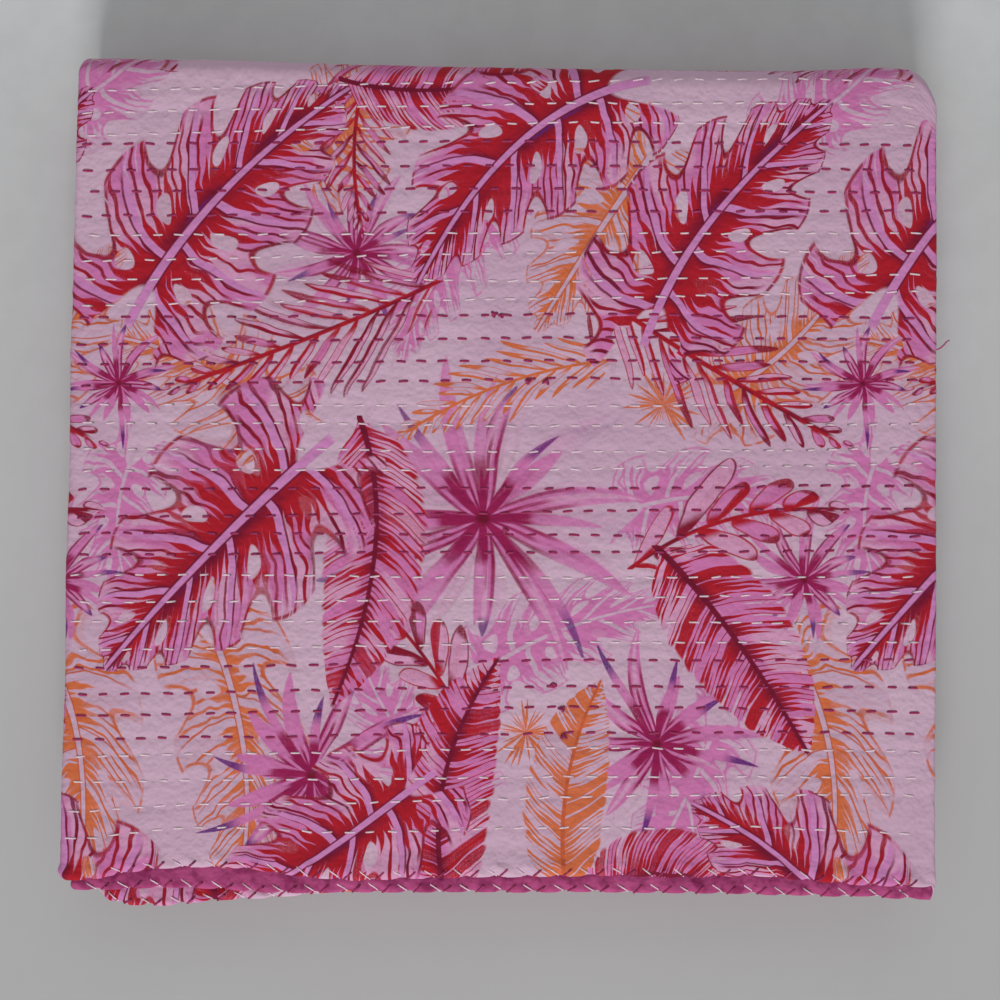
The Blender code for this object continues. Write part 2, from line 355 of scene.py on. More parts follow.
@dataclass
class FoldMap:
    """Carries a point (s, t) of the flat cloth to its place in the folded stack.

    s runs across the quilt from the first ply's side hem to the last one's, and t runs down the
    packet from the top front hems to the bottom back ones.
    """

    sizes: QuiltSizes = field(default_factory=QuiltSizes)

    def __post_init__(self) -> None:
        """Work out where each run and fold begins."""
        z = self.sizes
        self.plies = z.plies_table
        lengths = [ply.right_x - ply.left_x for ply in self.plies]
        turns = zip(self.plies, self.plies[1:])
        self.radii = [abs(after.level - ply.level) * z.pitch / 2 for ply, after in turns]
        knots = [0.0]
        for index, length in enumerate(lengths):
            knots.append(knots[-1] + length)
            if index < len(self.radii):
                knots.append(knots[-1] + math.pi * self.radii[index])
        self.s_knots = np.array(knots)
        hems = np.array(HEM_LINES)
        slips, lines = [], []
        for index, ply in enumerate(self.plies):
            start = self.s_knots[2 * index]
            marks = [
                (ply.left_x, ply.slip_left), (z.low_x, ply.slip_middle),
                (z.corner_x, ply.slip_middle), (ply.right_x, ply.slip_right),
            ][::ply.heading]
            slips += [(start + abs(x - marks[0][0]), slip) for x, slip in marks]
            inside = (hems[:, 0] > ply.left_x) & (hems[:, 0] < ply.right_x)
            places = np.array([ply.left_x, *hems[inside, 0], ply.right_x])[::ply.heading]
            ahead = np.interp(places, hems[:, 0], hems[:, index + 1]) * MM
            lines += [(start + abs(x - places[0]), reach) for x, reach in zip(places, ahead)]
        self.slip_table = np.array(slips)
        self.hem_table = np.array(lines)
        self.front_hem = -z.top_ply_depth / 2
        self.back_fold = z.top_ply_depth / 2 - z.cross_reach
        self.front_fold = self.front_hem + z.cross_reach + z.front_fold_inset
        back_hem = z.top_ply_depth / 2 - z.back_hem_inset
        self.runs = []
        t, height = 0.0, z.height - z.packet_reach
        for packet in range(z.packets):
            start = self.front_hem if packet == 0 else self.front_fold
            end = back_hem if packet == z.packets - 1 else self.back_fold
            if packet % 2:
                start, end = end, start
            self.runs.append((t, start, end, height))
            t += abs(end - start)
            if packet < z.packets - 1:
                t += math.pi * z.cross_radius
                height -= 2 * z.cross_radius
        self.length = t
        self.width = float(self.s_knots[-1])
        self.back_table = np.array(BACK_LINE)
        self.shift_x = 0.0
        self.shift_y = 0.0
        self.centre_on_frame()

    def centre_on_frame(self) -> None:
        """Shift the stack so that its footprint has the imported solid's middle."""
        z = self.sizes
        low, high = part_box(NODE)
        s = np.concatenate([np.linspace(a, b, 40) for a, b in zip(self.s_knots, self.s_knots[1:])])
        folds = [t + abs(end - start) + math.pi * z.cross_radius / 2
                 for t, start, end, _ in self.runs[:-1]]
        t = np.array([0.0, *folds, self.length])
        s, t = [grid.ravel() for grid in np.meshgrid(s, t)]
        points = self.place(s, t, np.full_like(s, z.half_ply))
        self.shift_x = (low[0] + high[0]) / 2 - (points[:, 0].min() + points[:, 0].max()) / 2
        self.shift_y = (low[1] + high[1]) / 2 - (points[:, 1].min() + points[:, 1].max()) / 2

    def section(self, s: Array) -> tuple[Array, Array, Array, Array]:
        """Return x, h and the printed face's normal (x, h) at each s.

        Args:
            s: Across the cloth.

        Returns:
            Four arrays, with x to the right and h above the packet's middle.
        """
        z = self.sizes
        x, h, nx, nh = (np.zeros_like(s) for _ in range(4))
        parts = len(self.s_knots) - 1
        part = np.clip(np.searchsorted(self.s_knots, s, side="right") - 1, 0, parts - 1)
        for index in range(parts):
            here = part == index
            along = s[here] - self.s_knots[index]
            ply = self.plies[index // 2]
            if index % 2 == 0:
                start = ply.right_x if ply.heading < 0 else ply.left_x
                x[here] = start + ply.heading * along
                h[here] = ply.level * z.pitch
                nx[here], nh[here] = 0.0, -ply.heading
                continue
            after = self.plies[index // 2 + 1]
            radius = self.radii[index // 2]
            rising = 1 if after.level > ply.level else -1
            centre = ply.right_x if ply.heading > 0 else ply.left_x
            angle = along / radius
            out_x, out_h = ply.heading * np.sin(angle), -rising * np.cos(angle)
            x[here] = centre + radius * out_x
            h[here] = (ply.level + after.level) * z.pitch / 2 + radius * out_h
            nx[here] = ply.heading * rising * out_x
            nh[here] = ply.heading * rising * out_h
        return x, h, nx, nh

    def zigzag(self, t: Array) -> tuple[Array, Array, Array, Array, Array, Array, Array]:
        """Return y, z, the packet's normal (y, z), the flat length and the fold angles at t.

        Args:
            t: Down the packet.

        Returns:
            Seven arrays; the angles are summed over the back folds and over the front ones.
        """
        radius = self.sizes.cross_radius
        y, z, ny, nz, flat, back, front = (np.zeros_like(t) for _ in range(7))
        flat_before = back_before = front_before = 0.0
        for packet, (start_t, start, end, height) in enumerate(self.runs):
            length = abs(end - start)
            heading = 1.0 if end > start else -1.0
            stop = np.inf if packet == len(self.runs) - 1 else start_t + length
            first = -np.inf if packet == 0 else start_t
            here = (t >= first) & (t < stop)
            along = t[here] - start_t
            y[here], z[here] = start + heading * along, height
            ny[here], nz[here] = 0.0, heading
            flat[here], back[here], front[here] = flat_before + along, back_before, front_before
            if packet == len(self.runs) - 1:
                break
            here = (t >= stop) & (t < stop + math.pi * radius)
            angle = (t[here] - stop) / radius
            out_y, out_z = heading * np.sin(angle), np.cos(angle)
            y[here] = end + radius * out_y
            z[here] = height - radius + radius * out_z
            ny[here], nz[here] = heading * out_y, heading * out_z
            flat_before += length
            flat[here] = flat_before
            back[here] = back_before + (angle if heading > 0 else 0.0)
            front[here] = front_before + (angle if heading < 0 else 0.0)
            if heading > 0:
                back_before += math.pi
            else:
                front_before += math.pi
        return y, z, ny, nz, flat, back, front

    def back_at(self, x: Array) -> tuple[Array, Array, Array]:
        """Return how the back folds stand, trail and round off at x, smoothed a little.

        Args:
            x: To the right of the packet's middle.

        Returns:
            The three distances, in metres.
        """
        table, found = self.back_table, []
        back_blur, corner_blur = self.sizes.back_blur, self.sizes.corner_blur
        for column, blur in ((1, back_blur), (2, back_blur), (3, corner_blur)):
            found.append(sum(
                np.interp(x + step * blur, table[:, 0], table[:, column]) for step in (-1, 0, 1)
            ) / 3)
        return found[0], found[1], found[2]

    def settle(self, x: Array, y: Array, z: Array) -> Array:
        """Return the points after the square packet has sunk, leaned and rounded.

        Args:
            x: To the right.
            y: To the back.
            z: Up, in the square packet.

        Returns:
            The points, with x, y and z in the last place.
        """
        sizes = self.sizes
        back, trail, corner = self.back_at(x)
        half_depth = sizes.top_ply_depth / 2
        at_back = ease(y / half_depth)
        at_corner = ease((y - half_depth + sizes.corner_reach) / sizes.corner_reach)
        lowness = 1.0 - z / sizes.height
        swell = np.clip(1.0 - (x / sizes.half_width) ** 2, 0.0, 1.0)
        # The lower packets' front folds and all side folds waver a little.
        below = ease(-y / half_depth) * ease((sizes.wavy_below - z) / sizes.wavy_fade)
        wavy = below * sizes.front_sway * FRONT_WAVES.at(x, z)
        side = np.sign(x)
        beside = side * ease((np.abs(x) - sizes.side_from) / sizes.side_blend)
        waves = SIDE_WAVES._replace(shift=SIDES_APART * side)
        drawn = beside * sizes.side_sway * waves.at(y, z)
        return np.stack([
            x + drawn + sizes.lean * y + self.shift_x,
            y + wavy + at_back * (back + trail * lowness) - at_corner * corner + self.shift_y,
            np.maximum(z * (1.0 + sizes.crown * swell), ON_FLOOR),
        ], axis=-1)

    def place(self, s: Array, t: Array, offset: Array | float, push: Array | float = 0.0) -> Array:
        """Return the places of cloth points.

        Args:
            s: Distance across the cloth.
            t: Distance down the packet.
            offset: Distance out of the printed face from the cloth's middle.
            push: Distance by which a point is slid back from its front hem.

        Returns:
            The points, with x, y and z in the last place.
        """
        x, h, nx, nh = self.section(s)
        y, z, ny, nz, *_ = self.zigzag(t)
        slip = np.interp(s, self.slip_table[:, 0], self.slip_table[:, 1])
        ahead = np.interp(s, self.hem_table[:, 0], self.hem_table[:, 1]) - slip
        slip = slip * (1.0 - ease(t / self.sizes.slip_run))
        slip = slip + ahead * (1.0 - ease(t / self.sizes.wander_run))
        height = h + offset * nh
        return self.settle(x + offset * nx, y + height * ny - slip + push, z + height * nz)

    def print_place(self, s: Array, t: Array) -> tuple[Array, Array]:
        """Return the print's coordinates: right of the top ply's middle and above its hem.

        Args:
            s: Across the cloth.
            t: Down the packet.

        Returns:
            Both coordinates, in metres of cloth.
        """
        _, h, _, _ = self.section(s)
        *_, flat, back, front = self.zigzag(t)
        radius = self.sizes.cross_radius
        middle = self.s_knots[5] + self.sizes.outer_x
        return middle - s, flat + back * (radius + h) + front * (radius - h)

    def top_s(self, x: Array) -> Array:
        """Return s on the top ply at x, carried on round its two side folds."""
        return self.s_knots[5] - (x - self.sizes.outer_x)

    def row_t(self, row: StitchRow, x: Array) -> Array:
        """Return t of a stitch row at x on the top ply, also where it lies on the back fold.

        Args:
            row: The row.
            x: To the right of the packet's middle.

        Returns:
            The distance down the packet.
        """
        z = self.sizes
        slope_left = (row.middle - row.left) / (ROW_MIDDLE_X - ROW_LEFT_X)
        slope_right = (row.right - row.middle) / (ROW_RIGHT_X - ROW_MIDDLE_X)
        reach = np.where(
            x < ROW_MIDDLE_X,
            row.left + slope_left * (np.maximum(x, ROWS_LEVEL_LEFT_OF) - ROW_LEFT_X),
            row.middle + slope_right * (x - ROW_MIDDLE_X),
        ) * MM
        back, _, _ = self.back_at(x)
        half = z.top_ply_depth / 2
        t = reach - ease((reach - half) / half) * back
        start = self.runs[0][2] - self.runs[0][1]
        outer = z.cross_radius + 1.5 * z.pitch
        over = np.clip((t - start) / outer, 0.0, 1.0)
        return np.where(t > start, start + z.cross_radius * np.arcsin(over), t)


PUFF_WAVES = Waves(0.045, 0.012, 3.0)
RIPPLES = ((Waves(0.012, 0.0075, 5.0), 0.45), (Waves(0.0068, 0.0048, 6.0), 0.55))
LIVELY_PATCHES = Waves(0.15, 0.12, 8.0)
LIE_WAVES = ((Waves(0.11, 0.085, 11.0, 7.0), 0.7), (Waves(0.045, 0.030, 12.0), 0.3))
HEM_DRIFTS = ((Waves(0.075, 1.0, 4.0), 1.0), (Waves(0.019, 1.0, 5.0), 0.4))
HEM_DRIFT_LANE = 3.0
HEM_PUFF_WAVES = Waves(0.023, 0.006, 17.0)
QUIET_WAVES = Waves(0.022, 0.006, 21.0)


@dataclass
class Relief:
    """How the stitched cloth swells between its rows, creases and ripples at its hems, in metres."""

    folds: FoldMap
    puff: float = 0.00019
    puff_share: float = 0.75
    puff_uneven: float = 0.50
    groove: float = 0.00028
    groove_width: float = 0.0026
    pucker: float = 0.00048
    pucker_share: float = 0.60
    quiet: float = 0.00016
    wave: float = 0.0011
    hem_pitch: float = 0.0205
    hem_start: float = 0.0060
    hem_slant: float = 0.0080
    hem_inner: float = 0.0070
    hem_carry: float = 1.4      # how far in the puffs keep the stitches' slant, in hem_inner
    hem_scallop: float = 0.0013
    hem_pull: float = 1.3
    hem_drift: float = 0.8
    hem_puff: float = 0.0018
    hem_full: float = 0.75
    hem_uneven: float = 0.35
    hem_puff_below: float = 0.40
    hem_groove: float = 0.0034
    hem_pulled: float = 0.35
    hem_rise: float = 0.0030
    hem_flat: float = 0.0040
    hem_fall: float = 0.0080
    hem_slide: float = 0.020
    hem_round: float = 0.0013
    hem_blunt: float = 0.18
    fade_to_fold: float = 0.012
    fold_share: float = 0.35
    wave_base: float = 0.0010
    crease_bend: float = 0.12
    lift_run: float = 0.020
    lift_from_hem: float = 0.012
    lift_at_hem: float = 0.25
    lift_to_back: float = 0.015
    turned_edge: float = 0.004

    def to_row(self, x: Array, t: Array) -> Array:
        """Return the distance along t to the nearest stitch row of the top ply."""
        return np.minimum.reduce([np.abs(t - self.folds.row_t(row, x)) for row in STITCH_ROWS])

    def swell(self, s: Array, t: Array) -> Array:
        """Return how far the top ply's faces stand out (+) or are pressed in (-).

        Args:
            s: Across the cloth.
            t: Down the packet.

        Returns:
            The height in metres.
        """
        x, *_ = self.folds.section(s)
        pressed = np.exp(-(self.to_row(x, t) / self.groove_width) ** 2)
        lively = self.puff_share + self.puff_uneven * PUFF_WAVES.at(s, t)
        ripple = sum(waves.at(s, t) * share for waves, share in RIPPLES)
        ripple = ripple * self.pucker * self.pucker_share * (1.0 + LIVELY_PATCHES.at(s, t) ** 2)
        start, end = self.folds.s_knots[4], self.folds.s_knots[5]
        fade = self.fade_to_fold
        flat = ease((s - start) / fade) * ease((end - s) / fade)
        flat = self.fold_share + (1.0 - self.fold_share) * flat
        return (self.puff * (1 - pressed) * lively - self.groove * pressed) * flat + ripple

    def lift(self, s: Array, t: Array) -> Array:
        """Return how far the top ply rises from its flat lie, creases included.

        Args:
            s: Across the cloth.
            t: Down the packet.

        Returns:
            The height in metres.
        """
        folds = self.folds
        x, *_ = folds.section(s)
        up = sum(share * (0.5 + 0.5 * waves.at(x, t)) for waves, share in LIE_WAVES)
        height = self.wave * up + self.wave_base
        for crease in CREASES:
            turn = math.radians(crease.turn)
            dx, dy = x - crease.x * MM, t - crease.y * MM
            along = (dx * math.cos(turn) + dy * math.sin(turn)) / (crease.length * MM / 2)
            bend = self.crease_bend * crease.width * MM * np.sin(3.0 * along)
            across = (dy * math.cos(turn) - dx * math.sin(turn) + bend) / (crease.width * MM)
            height = height - crease.depth * MM * np.exp(-(across ** 2) - along ** 4)
        start, end = folds.s_knots[4], folds.s_knots[5]
        inside = ease((s - start) / self.lift_run) * ease((end - s) / self.lift_run)
        inside = inside * ease(t / self.lift_from_hem + self.lift_at_hem)
        back = folds.runs[0][2] - folds.runs[0][1]
        return np.maximum(height, 0.0) * inside * ease((back - t) / self.lift_to_back)

    def from_overcast(self, s: Array, t: Array) -> Array:
        """Return the distance along a front hem to its nearest overcast stitch.

        Args:
            s: Across the cloth.
            t: In from the hem.

        Returns:
            The distance in metres, below zero before the stitch.
        """
        knots = self.folds.s_knots
        ply = np.clip(np.searchsorted(knots[::2], s, side="right") - 1, 0, 3)
        heading = np.array([item.heading for item in self.folds.plies])[ply]
        slide = heading * self.hem_slant * (1.0 - np.clip(t / self.hem_inner, 0.0, self.hem_carry))
        turn = (s - knots[2 * ply] - self.hem_start - slide) / self.hem_pitch
        return (turn - np.round(turn)) * self.hem_pitch

    def hem_push(self, s: Array, t: Array) -> Array:
        """Return how far a front hem is drawn back, most at each overcast stitch.

        Args:
            s: Across the cloth.
            t: In from the hem.

        Returns:
            The distance in metres.
        """
        pulled = np.exp(-(self.from_overcast(s, t * 0.0) / self.hem_groove) ** 2)
        drift = sum(share * waves.line(s, HEM_DRIFT_LANE) for waves, share in HEM_DRIFTS)
        drawn = self.hem_pull * pulled + self.hem_drift * drift
        return self.hem_scallop * drawn * (1 - ease(t / self.hem_slide))

    def hem_swell(self, s: Array, t: Array) -> Array:
        """Return how far a front hem's faces puff out between its overcast stitches.

        Args:
            s: Across the cloth.
            t: In from the hem.

        Returns:
            The height in metres, below zero where a stitch pulls the hem in.
        """
        near = ease(t / self.hem_rise) * (1.0 - ease((t - self.hem_flat) / self.hem_fall))
        pulled = np.exp(-(self.from_overcast(s, t) / self.hem_groove) ** 2)
        full = self.hem_full * (1.0 + self.hem_uneven * HEM_PUFF_WAVES.at(s, t))
        return self.hem_puff * near * (full - pulled)

    def rim(self, distance: Array) -> Array:
        """Return the share of its thickness that the cloth has near a rounded edge."""
        share = np.clip(distance / self.hem_round, 0.0, 1.0)
        return np.maximum(np.sqrt(1.0 - (1.0 - share) ** 2), self.hem_blunt)

    def faces(self, s: Array, t: Array, side: Array) -> Array:
        """Return the places of points on the cloth's faces, relief and hems included.

        Args:
            s: Distance across the cloth.
            t: Distance down the packet.
            side: +1 on the printed face, -1 on the reverse.

        Returns:
            The points, with x, y and z in the last place.
        """
        folds, knots, edge = self.folds, self.folds.s_knots, self.turned_edge
        half = folds.sizes.half_ply
        top = (s > knots[3] - edge) & (s < knots[6] + edge)
        back = folds.runs[0][2] - folds.runs[0][1] + math.pi * folds.sizes.cross_radius
        top = top & (t < back)
        to_hem = np.minimum(t, folds.length - t)
        out = half * self.rim(to_hem) * self.rim(np.minimum(s, folds.width - s)) * side
        out = out + np.where(top & (side > 0), self.swell(s, t), 0.0)
        out = out + np.where(top, 0.0, self.quiet * QUIET_WAVES.at(s, t) * side * (to_hem > edge))
        out = out + np.where(top, self.lift(s, t), 0.0)
        _, _, _, rising = folds.section(s)
        share = np.where(side * rising > 0, 1.0, self.hem_puff_below)
        out = out + side * share * np.maximum(self.hem_swell(s, t), -self.hem_pulled * half)
        return folds.place(s, t, out, self.hem_push(s, t))


# ---- The print ----

class Motif(Enum):
    """The layers of the print, from the one at the back to the one in front."""

    BACK_LEAF = "back_leaf"
    FLOWER = "flower"
    FROND = "frond"
    BLADE = "blade"
    SPLIT_LEAF = "split_leaf"


class Ink(Enum):
    """The ink and the variant of a motif, as the offset that its seed carries."""

    RED = 0.0
    RED_SPARSE = 25.0
    ORANGE = 50.0
    ORANGE_SPARSE = 75.0
    PINK = 100.0

    @property
    def start(self) -> float:
        """Return the number that this ink's seeds lie above."""
        return self.value - 1.0


class Leaf(NamedTuple):
    """A leaf's midrib as a curve of three points, and its half width, in millimetres."""

    base: tuple[float, float]
    bend: tuple[float, float]
    tip: tuple[float, float]
    half_width: float
    ink: Ink = Ink.RED


class Bloom(NamedTuple):
    """A flower's middle and reach, in millimetres."""

    middle: tuple[float, float]
    radius: float
    ink: Ink = Ink.RED


REPEAT_ACROSS = 0.492
REPEAT_ALONG = 0.640

SPLIT_LEAVES = (
    Leaf((-236, 384), (-194, 456), (-110, 518), 68), Leaf((70, 526), (-4, 500), (-54, 396), 62),
    Leaf((102, 374), (134, 452), (212, 514), 62), Leaf((-132, 268), (-192, 214), (-256, 138), 72),
    Leaf((262, -56), (206, 8), (132, 44), 58), Leaf((-58, 54), (-112, 16), (-190, -36), 50),
)
BACK_LEAVES = (
    Leaf((-160, 306), (-208, 344), (-254, 352), 46), Leaf((96, 480), (64, 432), (24, 362), 50),
    Leaf((150, 318), (200, 346), (236, 412), 44), Leaf((-186, 150), (-152, 66), (-170, -20), 46),
    Leaf((196, 140), (236, 64), (212, -20), 46), Leaf((-128, 470), (-96, 510), (-74, 566), 44),
    Leaf((92, 240), (140, 254), (192, 238), 34, Ink.PINK),
    Leaf((-16, 436), (-56, 400), (-66, 340), 36, Ink.PINK),
    Leaf((188, 500), (232, 520), (268, 566), 36, Ink.PINK),
    Leaf((-4, 136), (46, 168), (110, 176), 34, Ink.PINK),
    Leaf((-30, 60), (-76, 92), (-92, 146), 34, Ink.PINK),
    Leaf((140, 90), (122, 40), (92, -6), 34, Ink.PINK),
    Leaf((-246, 268), (-262, 226), (-240, 172), 30, Ink.PINK),
)
FRONDS = (
    Leaf((-50, 388), (-112, 356), (-208, 322), 46), Leaf((62, 384), (118, 342), (214, 288), 52),
    Leaf((70, 338), (0, 330), (-62, 290), 30, Ink.ORANGE),
    Leaf((92, 204), (146, 242), (218, 238), 42, Ink.RED_SPARSE),
    Leaf((-20, 88), (-34, 130), (-80, 176), 36, Ink.RED_SPARSE),
    Leaf((-84, 560), (-110, 500), (-96, 432), 38), Leaf((268, 566), (216, 546), (150, 572), 34),
)
BLADES = (
    Leaf((-92, 292), (-66, 214), (-108, 112), 34), Leaf((-30, -22), (-56, 56), (-2, 138), 34),
    Leaf((46, -14), (34, 58), (66, 124), 27, Ink.ORANGE),
    Leaf((108, 208), (156, 160), (202, 80), 38),
    Leaf((-104, 526), (-40, 512), (36, 542), 28), Leaf((64, -16), (104, 22), (170, -20), 30),
    Leaf((56, 612), (-40, 596), (-160, 614), 28), Leaf((250, 598), (180, 572), (104, 608), 28),
)
BLOOMS = (
    Bloom((-12, 232), 118, Ink.RED_SPARSE), Bloom((104, 84), 78), Bloom((-122, 64), 86),
    Bloom((106, 308), 27, Ink.ORANGE_SPARSE), Bloom((18, 92), 24, Ink.ORANGE_SPARSE),
    Bloom((200, 192), 58), Bloom((-10, 574), 62), Bloom((-98, 410), 64), Bloom((238, 322), 46),
)

LAYOUT = {
    Motif.BACK_LEAF: tuple(
        leaf if leaf.ink is Ink.PINK else leaf._replace(ink=Ink.ORANGE) for leaf in BACK_LEAVES
    ),
    Motif.FLOWER: BLOOMS,
    Motif.FROND: FRONDS,
    Motif.BLADE: BLADES,
    Motif.SPLIT_LEAF: SPLIT_LEAVES,
}

# Half the leaf's width along its length, as a share of the widest.
BROAD_PROFILE = (
    (-0.34, 0.0), (-0.30, 0.40), (-0.22, 0.68), (-0.10, 0.88), (0.08, 0.98), (0.28, 1.0),
    (0.55, 0.88), (0.80, 0.58), (1.0, 0.14), (1.04, 0.0),
)
PROFILES = {
    Motif.BACK_LEAF: BROAD_PROFILE,
    Motif.SPLIT_LEAF: BROAD_PROFILE,
    Motif.BLADE: ((-0.05, 0.0), (0.0, 0.18), (0.1, 0.66), (0.3, 0.96), (0.5, 1.0), (0.75, 0.8),
                  (0.92, 0.4), (1.0, 0.10), (1.03, 0.0)),
    Motif.FROND: ((-0.05, 0.0), (0.0, 0.25), (0.15, 0.8), (0.4, 1.0), (0.7, 0.8), (0.95, 0.35),
                  (1.05, 0.12), (1.12, 0.0)),
}
NO_PRINT = (9.0, 9.0, 0.0)
LEAST_INSIDE = -0.02
LEAF_STEPS = np.linspace(-0.4, 1.3, 69)
LEAF_REFINEMENTS = 4
LEAST_SLOPE = 1e-5
BLOOM_MARGIN = 1.05
LEAF_MARGIN = 1.2
FACE_MARGIN = 0.012


@dataclass
class PrintLayout:
    """Lays the motifs out in their repeat and gives each point of cloth its place in them."""

    def copies(self, motif: Motif, low: Sequence[float], high: Sequence[float]) -> Iterable:
        """Yield each copy of a layer's motifs that may show between two corners.

        Args:
            motif: The layer.
            low: The lower left corner.
            high: The upper right one.

        Returns:
            Each copy's leaf or bloom, its shift and its seed.
        """
        for index, item in enumerate(LAYOUT[motif]):
            reach, middle = self.reach(item)
            across = range(
                math.floor((low[0] - reach - middle[0]) / REPEAT_ACROSS),
                math.ceil((high[0] + reach - middle[0]) / REPEAT_ACROSS) + 1,
            )
            along = range(
                math.floor((low[1] - reach - middle[1]) / REPEAT_ALONG),
                math.ceil((high[1] + reach - middle[1]) / REPEAT_ALONG) + 1,
            )
            seed = item.ink.value + 0.5 + 20.0 * hashed(index + 1.0, len(motif.value))
            for column in across:
                for row in along:
                    yield item, np.array([column * REPEAT_ACROSS, row * REPEAT_ALONG]), seed

    def reach(self, item: Leaf | Bloom) -> tuple[float, Array]:
        """Return how far a motif reaches from its middle, and the middle, in metres.

        Args:
            item: The leaf or bloom.

        Returns:
            The reach and the middle.
        """
        if isinstance(item, Bloom):
            return item.radius * MM * BLOOM_MARGIN, np.array(item.middle) * MM
        points = np.array([item.base, item.bend, item.tip]) * MM
        middle = (points[0] + points[2]) / 2
        span = np.linalg.norm(points - middle, axis=1).max()
        return span + LEAF_MARGIN * item.half_width * MM, middle

    def leaf_place(self, item: Leaf, points: Array) -> tuple[Array, Array]:
        """Return u, in half widths to the left of the midrib, and v, from its base to its tip.

        Args:
            item: The leaf.
            points: Places in the print, in metres.

        Returns:
            u and v at each point.
        """
        base, bend, tip = (np.array(point) * MM for point in (item.base, item.bend, item.tip))
        first, second = 2.0 * (bend - base), base - 2.0 * bend + tip
        line = base + first * LEAF_STEPS[:, None] + second * LEAF_STEPS[:, None] ** 2
        apart = ((points[:, None, :] - line[None, :, :]) ** 2).sum(axis=2)
        v = LEAF_STEPS[apart.argmin(axis=1)]
        for _ in range(LEAF_REFINEMENTS):
            here = base + first * v[:, None] + second * v[:, None] ** 2 - points
            heading = first + 2.0 * second * v[:, None]
            slope = (heading ** 2).sum(axis=1) + 2.0 * (here * second).sum(axis=1)
            v = v - (here * heading).sum(axis=1) / np.maximum(slope, LEAST_SLOPE)
        here = points - (base + first * v[:, None] + second * v[:, None] ** 2)
        heading = first + 2.0 * second * v[:, None]
        heading = heading / np.linalg.norm(heading, axis=1)[:, None]
        u = heading[:, 0] * here[:, 1] - heading[:, 1] * here[:, 0]
        return u / (item.half_width * MM), v

    def motif_place(self, motif: Motif, item: Leaf | Bloom,
                    points: Array) -> tuple[Array, Array, Array]:
        """Return a motif's coordinates at points of the print, and how far inside it they lie.

        Args:
            motif: The layer.
            item: The leaf or bloom.
            points: Places in the print.

        Returns:
            u, v and the distance inside the outline, each at each point.
        """
        if isinstance(item, Bloom):
            u, v = ((points - np.array(item.middle) * MM) / (item.radius * MM)).T
            return u, v, 1.0 - np.hypot(u, v)
        u, v = self.leaf_place(item, points)
        profile = np.array(PROFILES[motif])
        return u, v, np.interp(v, profile[:, 0], profile[:, 1], -1.0, -1.0) - np.abs(u)

    def print_on(self, mesh: Mesh, a: Array, b: Array, printed: Array) -> None:
        """Write each layer's coordinates into a mesh as a corner attribute.

        Args:
            mesh: The cloth, of four-sided faces.
            a: Each vertex's place in the print, to the right.
            b: Each vertex's place in the print, away from the hem.
            printed: Whether each face shows the print.
        """
        corners = corners_of(mesh)
        count = len(corners)
        points = np.stack([a, b], axis=1)
        used = np.zeros(len(a), dtype=bool)
        used[corners[printed].ravel()] = True
        low, high = points[used].min(axis=0), points[used].max(axis=0)
        for motif in Motif:
            values = np.tile(np.array(NO_PRINT, dtype=np.float32), (count, 4, 1))
            best = np.full(count, LEAST_INSIDE)
            for item, shift, seed in self.copies(motif, low, high):
                reach, middle = self.reach(item)
                apart = np.abs(points - (middle + shift))
                near = used & (apart < reach + FACE_MARGIN).all(axis=1)
                faces = np.flatnonzero(near[corners].all(axis=1) & printed)
                if not len(faces):
                    continue
                where = np.flatnonzero(near)
                place = np.zeros((3, len(a)))
                place[:, where] = self.motif_place(motif, item, points[where] - shift)
                u, v, inside = place
                score = inside[corners[faces]].max(axis=1)
                won = faces[score > best[faces]]
                best[won] = score[score > best[faces]]
                values[won, :, 0] = u[corners[won]]
                values[won, :, 1] = v[corners[won]]
                values[won, :, 2] = seed
            layer = mesh.attributes.new(motif.value, "FLOAT_VECTOR", "CORNER")
            layer.data.foreach_set("vector", values.astype(np.float32).ravel())


# ---- Finishes ----

def srgb(red: float, green: float, blue: float) -> tuple[float, float, float, float]:
    """Return a colour given in screen bytes as linear light with alpha.

    Args:
        red: Red, 0 to 255.
        green: Green.
        blue: Blue.

    Returns:
        Red, green, blue and alpha, 0 to 1.
    """
    linear = []
    for byte in (red, green, blue):
        share = byte / 255.0
        linear.append(share / 12.92 if share <= 0.04045 else ((share + 0.055) / 1.055) ** 2.4)
    return (linear[0], linear[1], linear[2], 1.0)


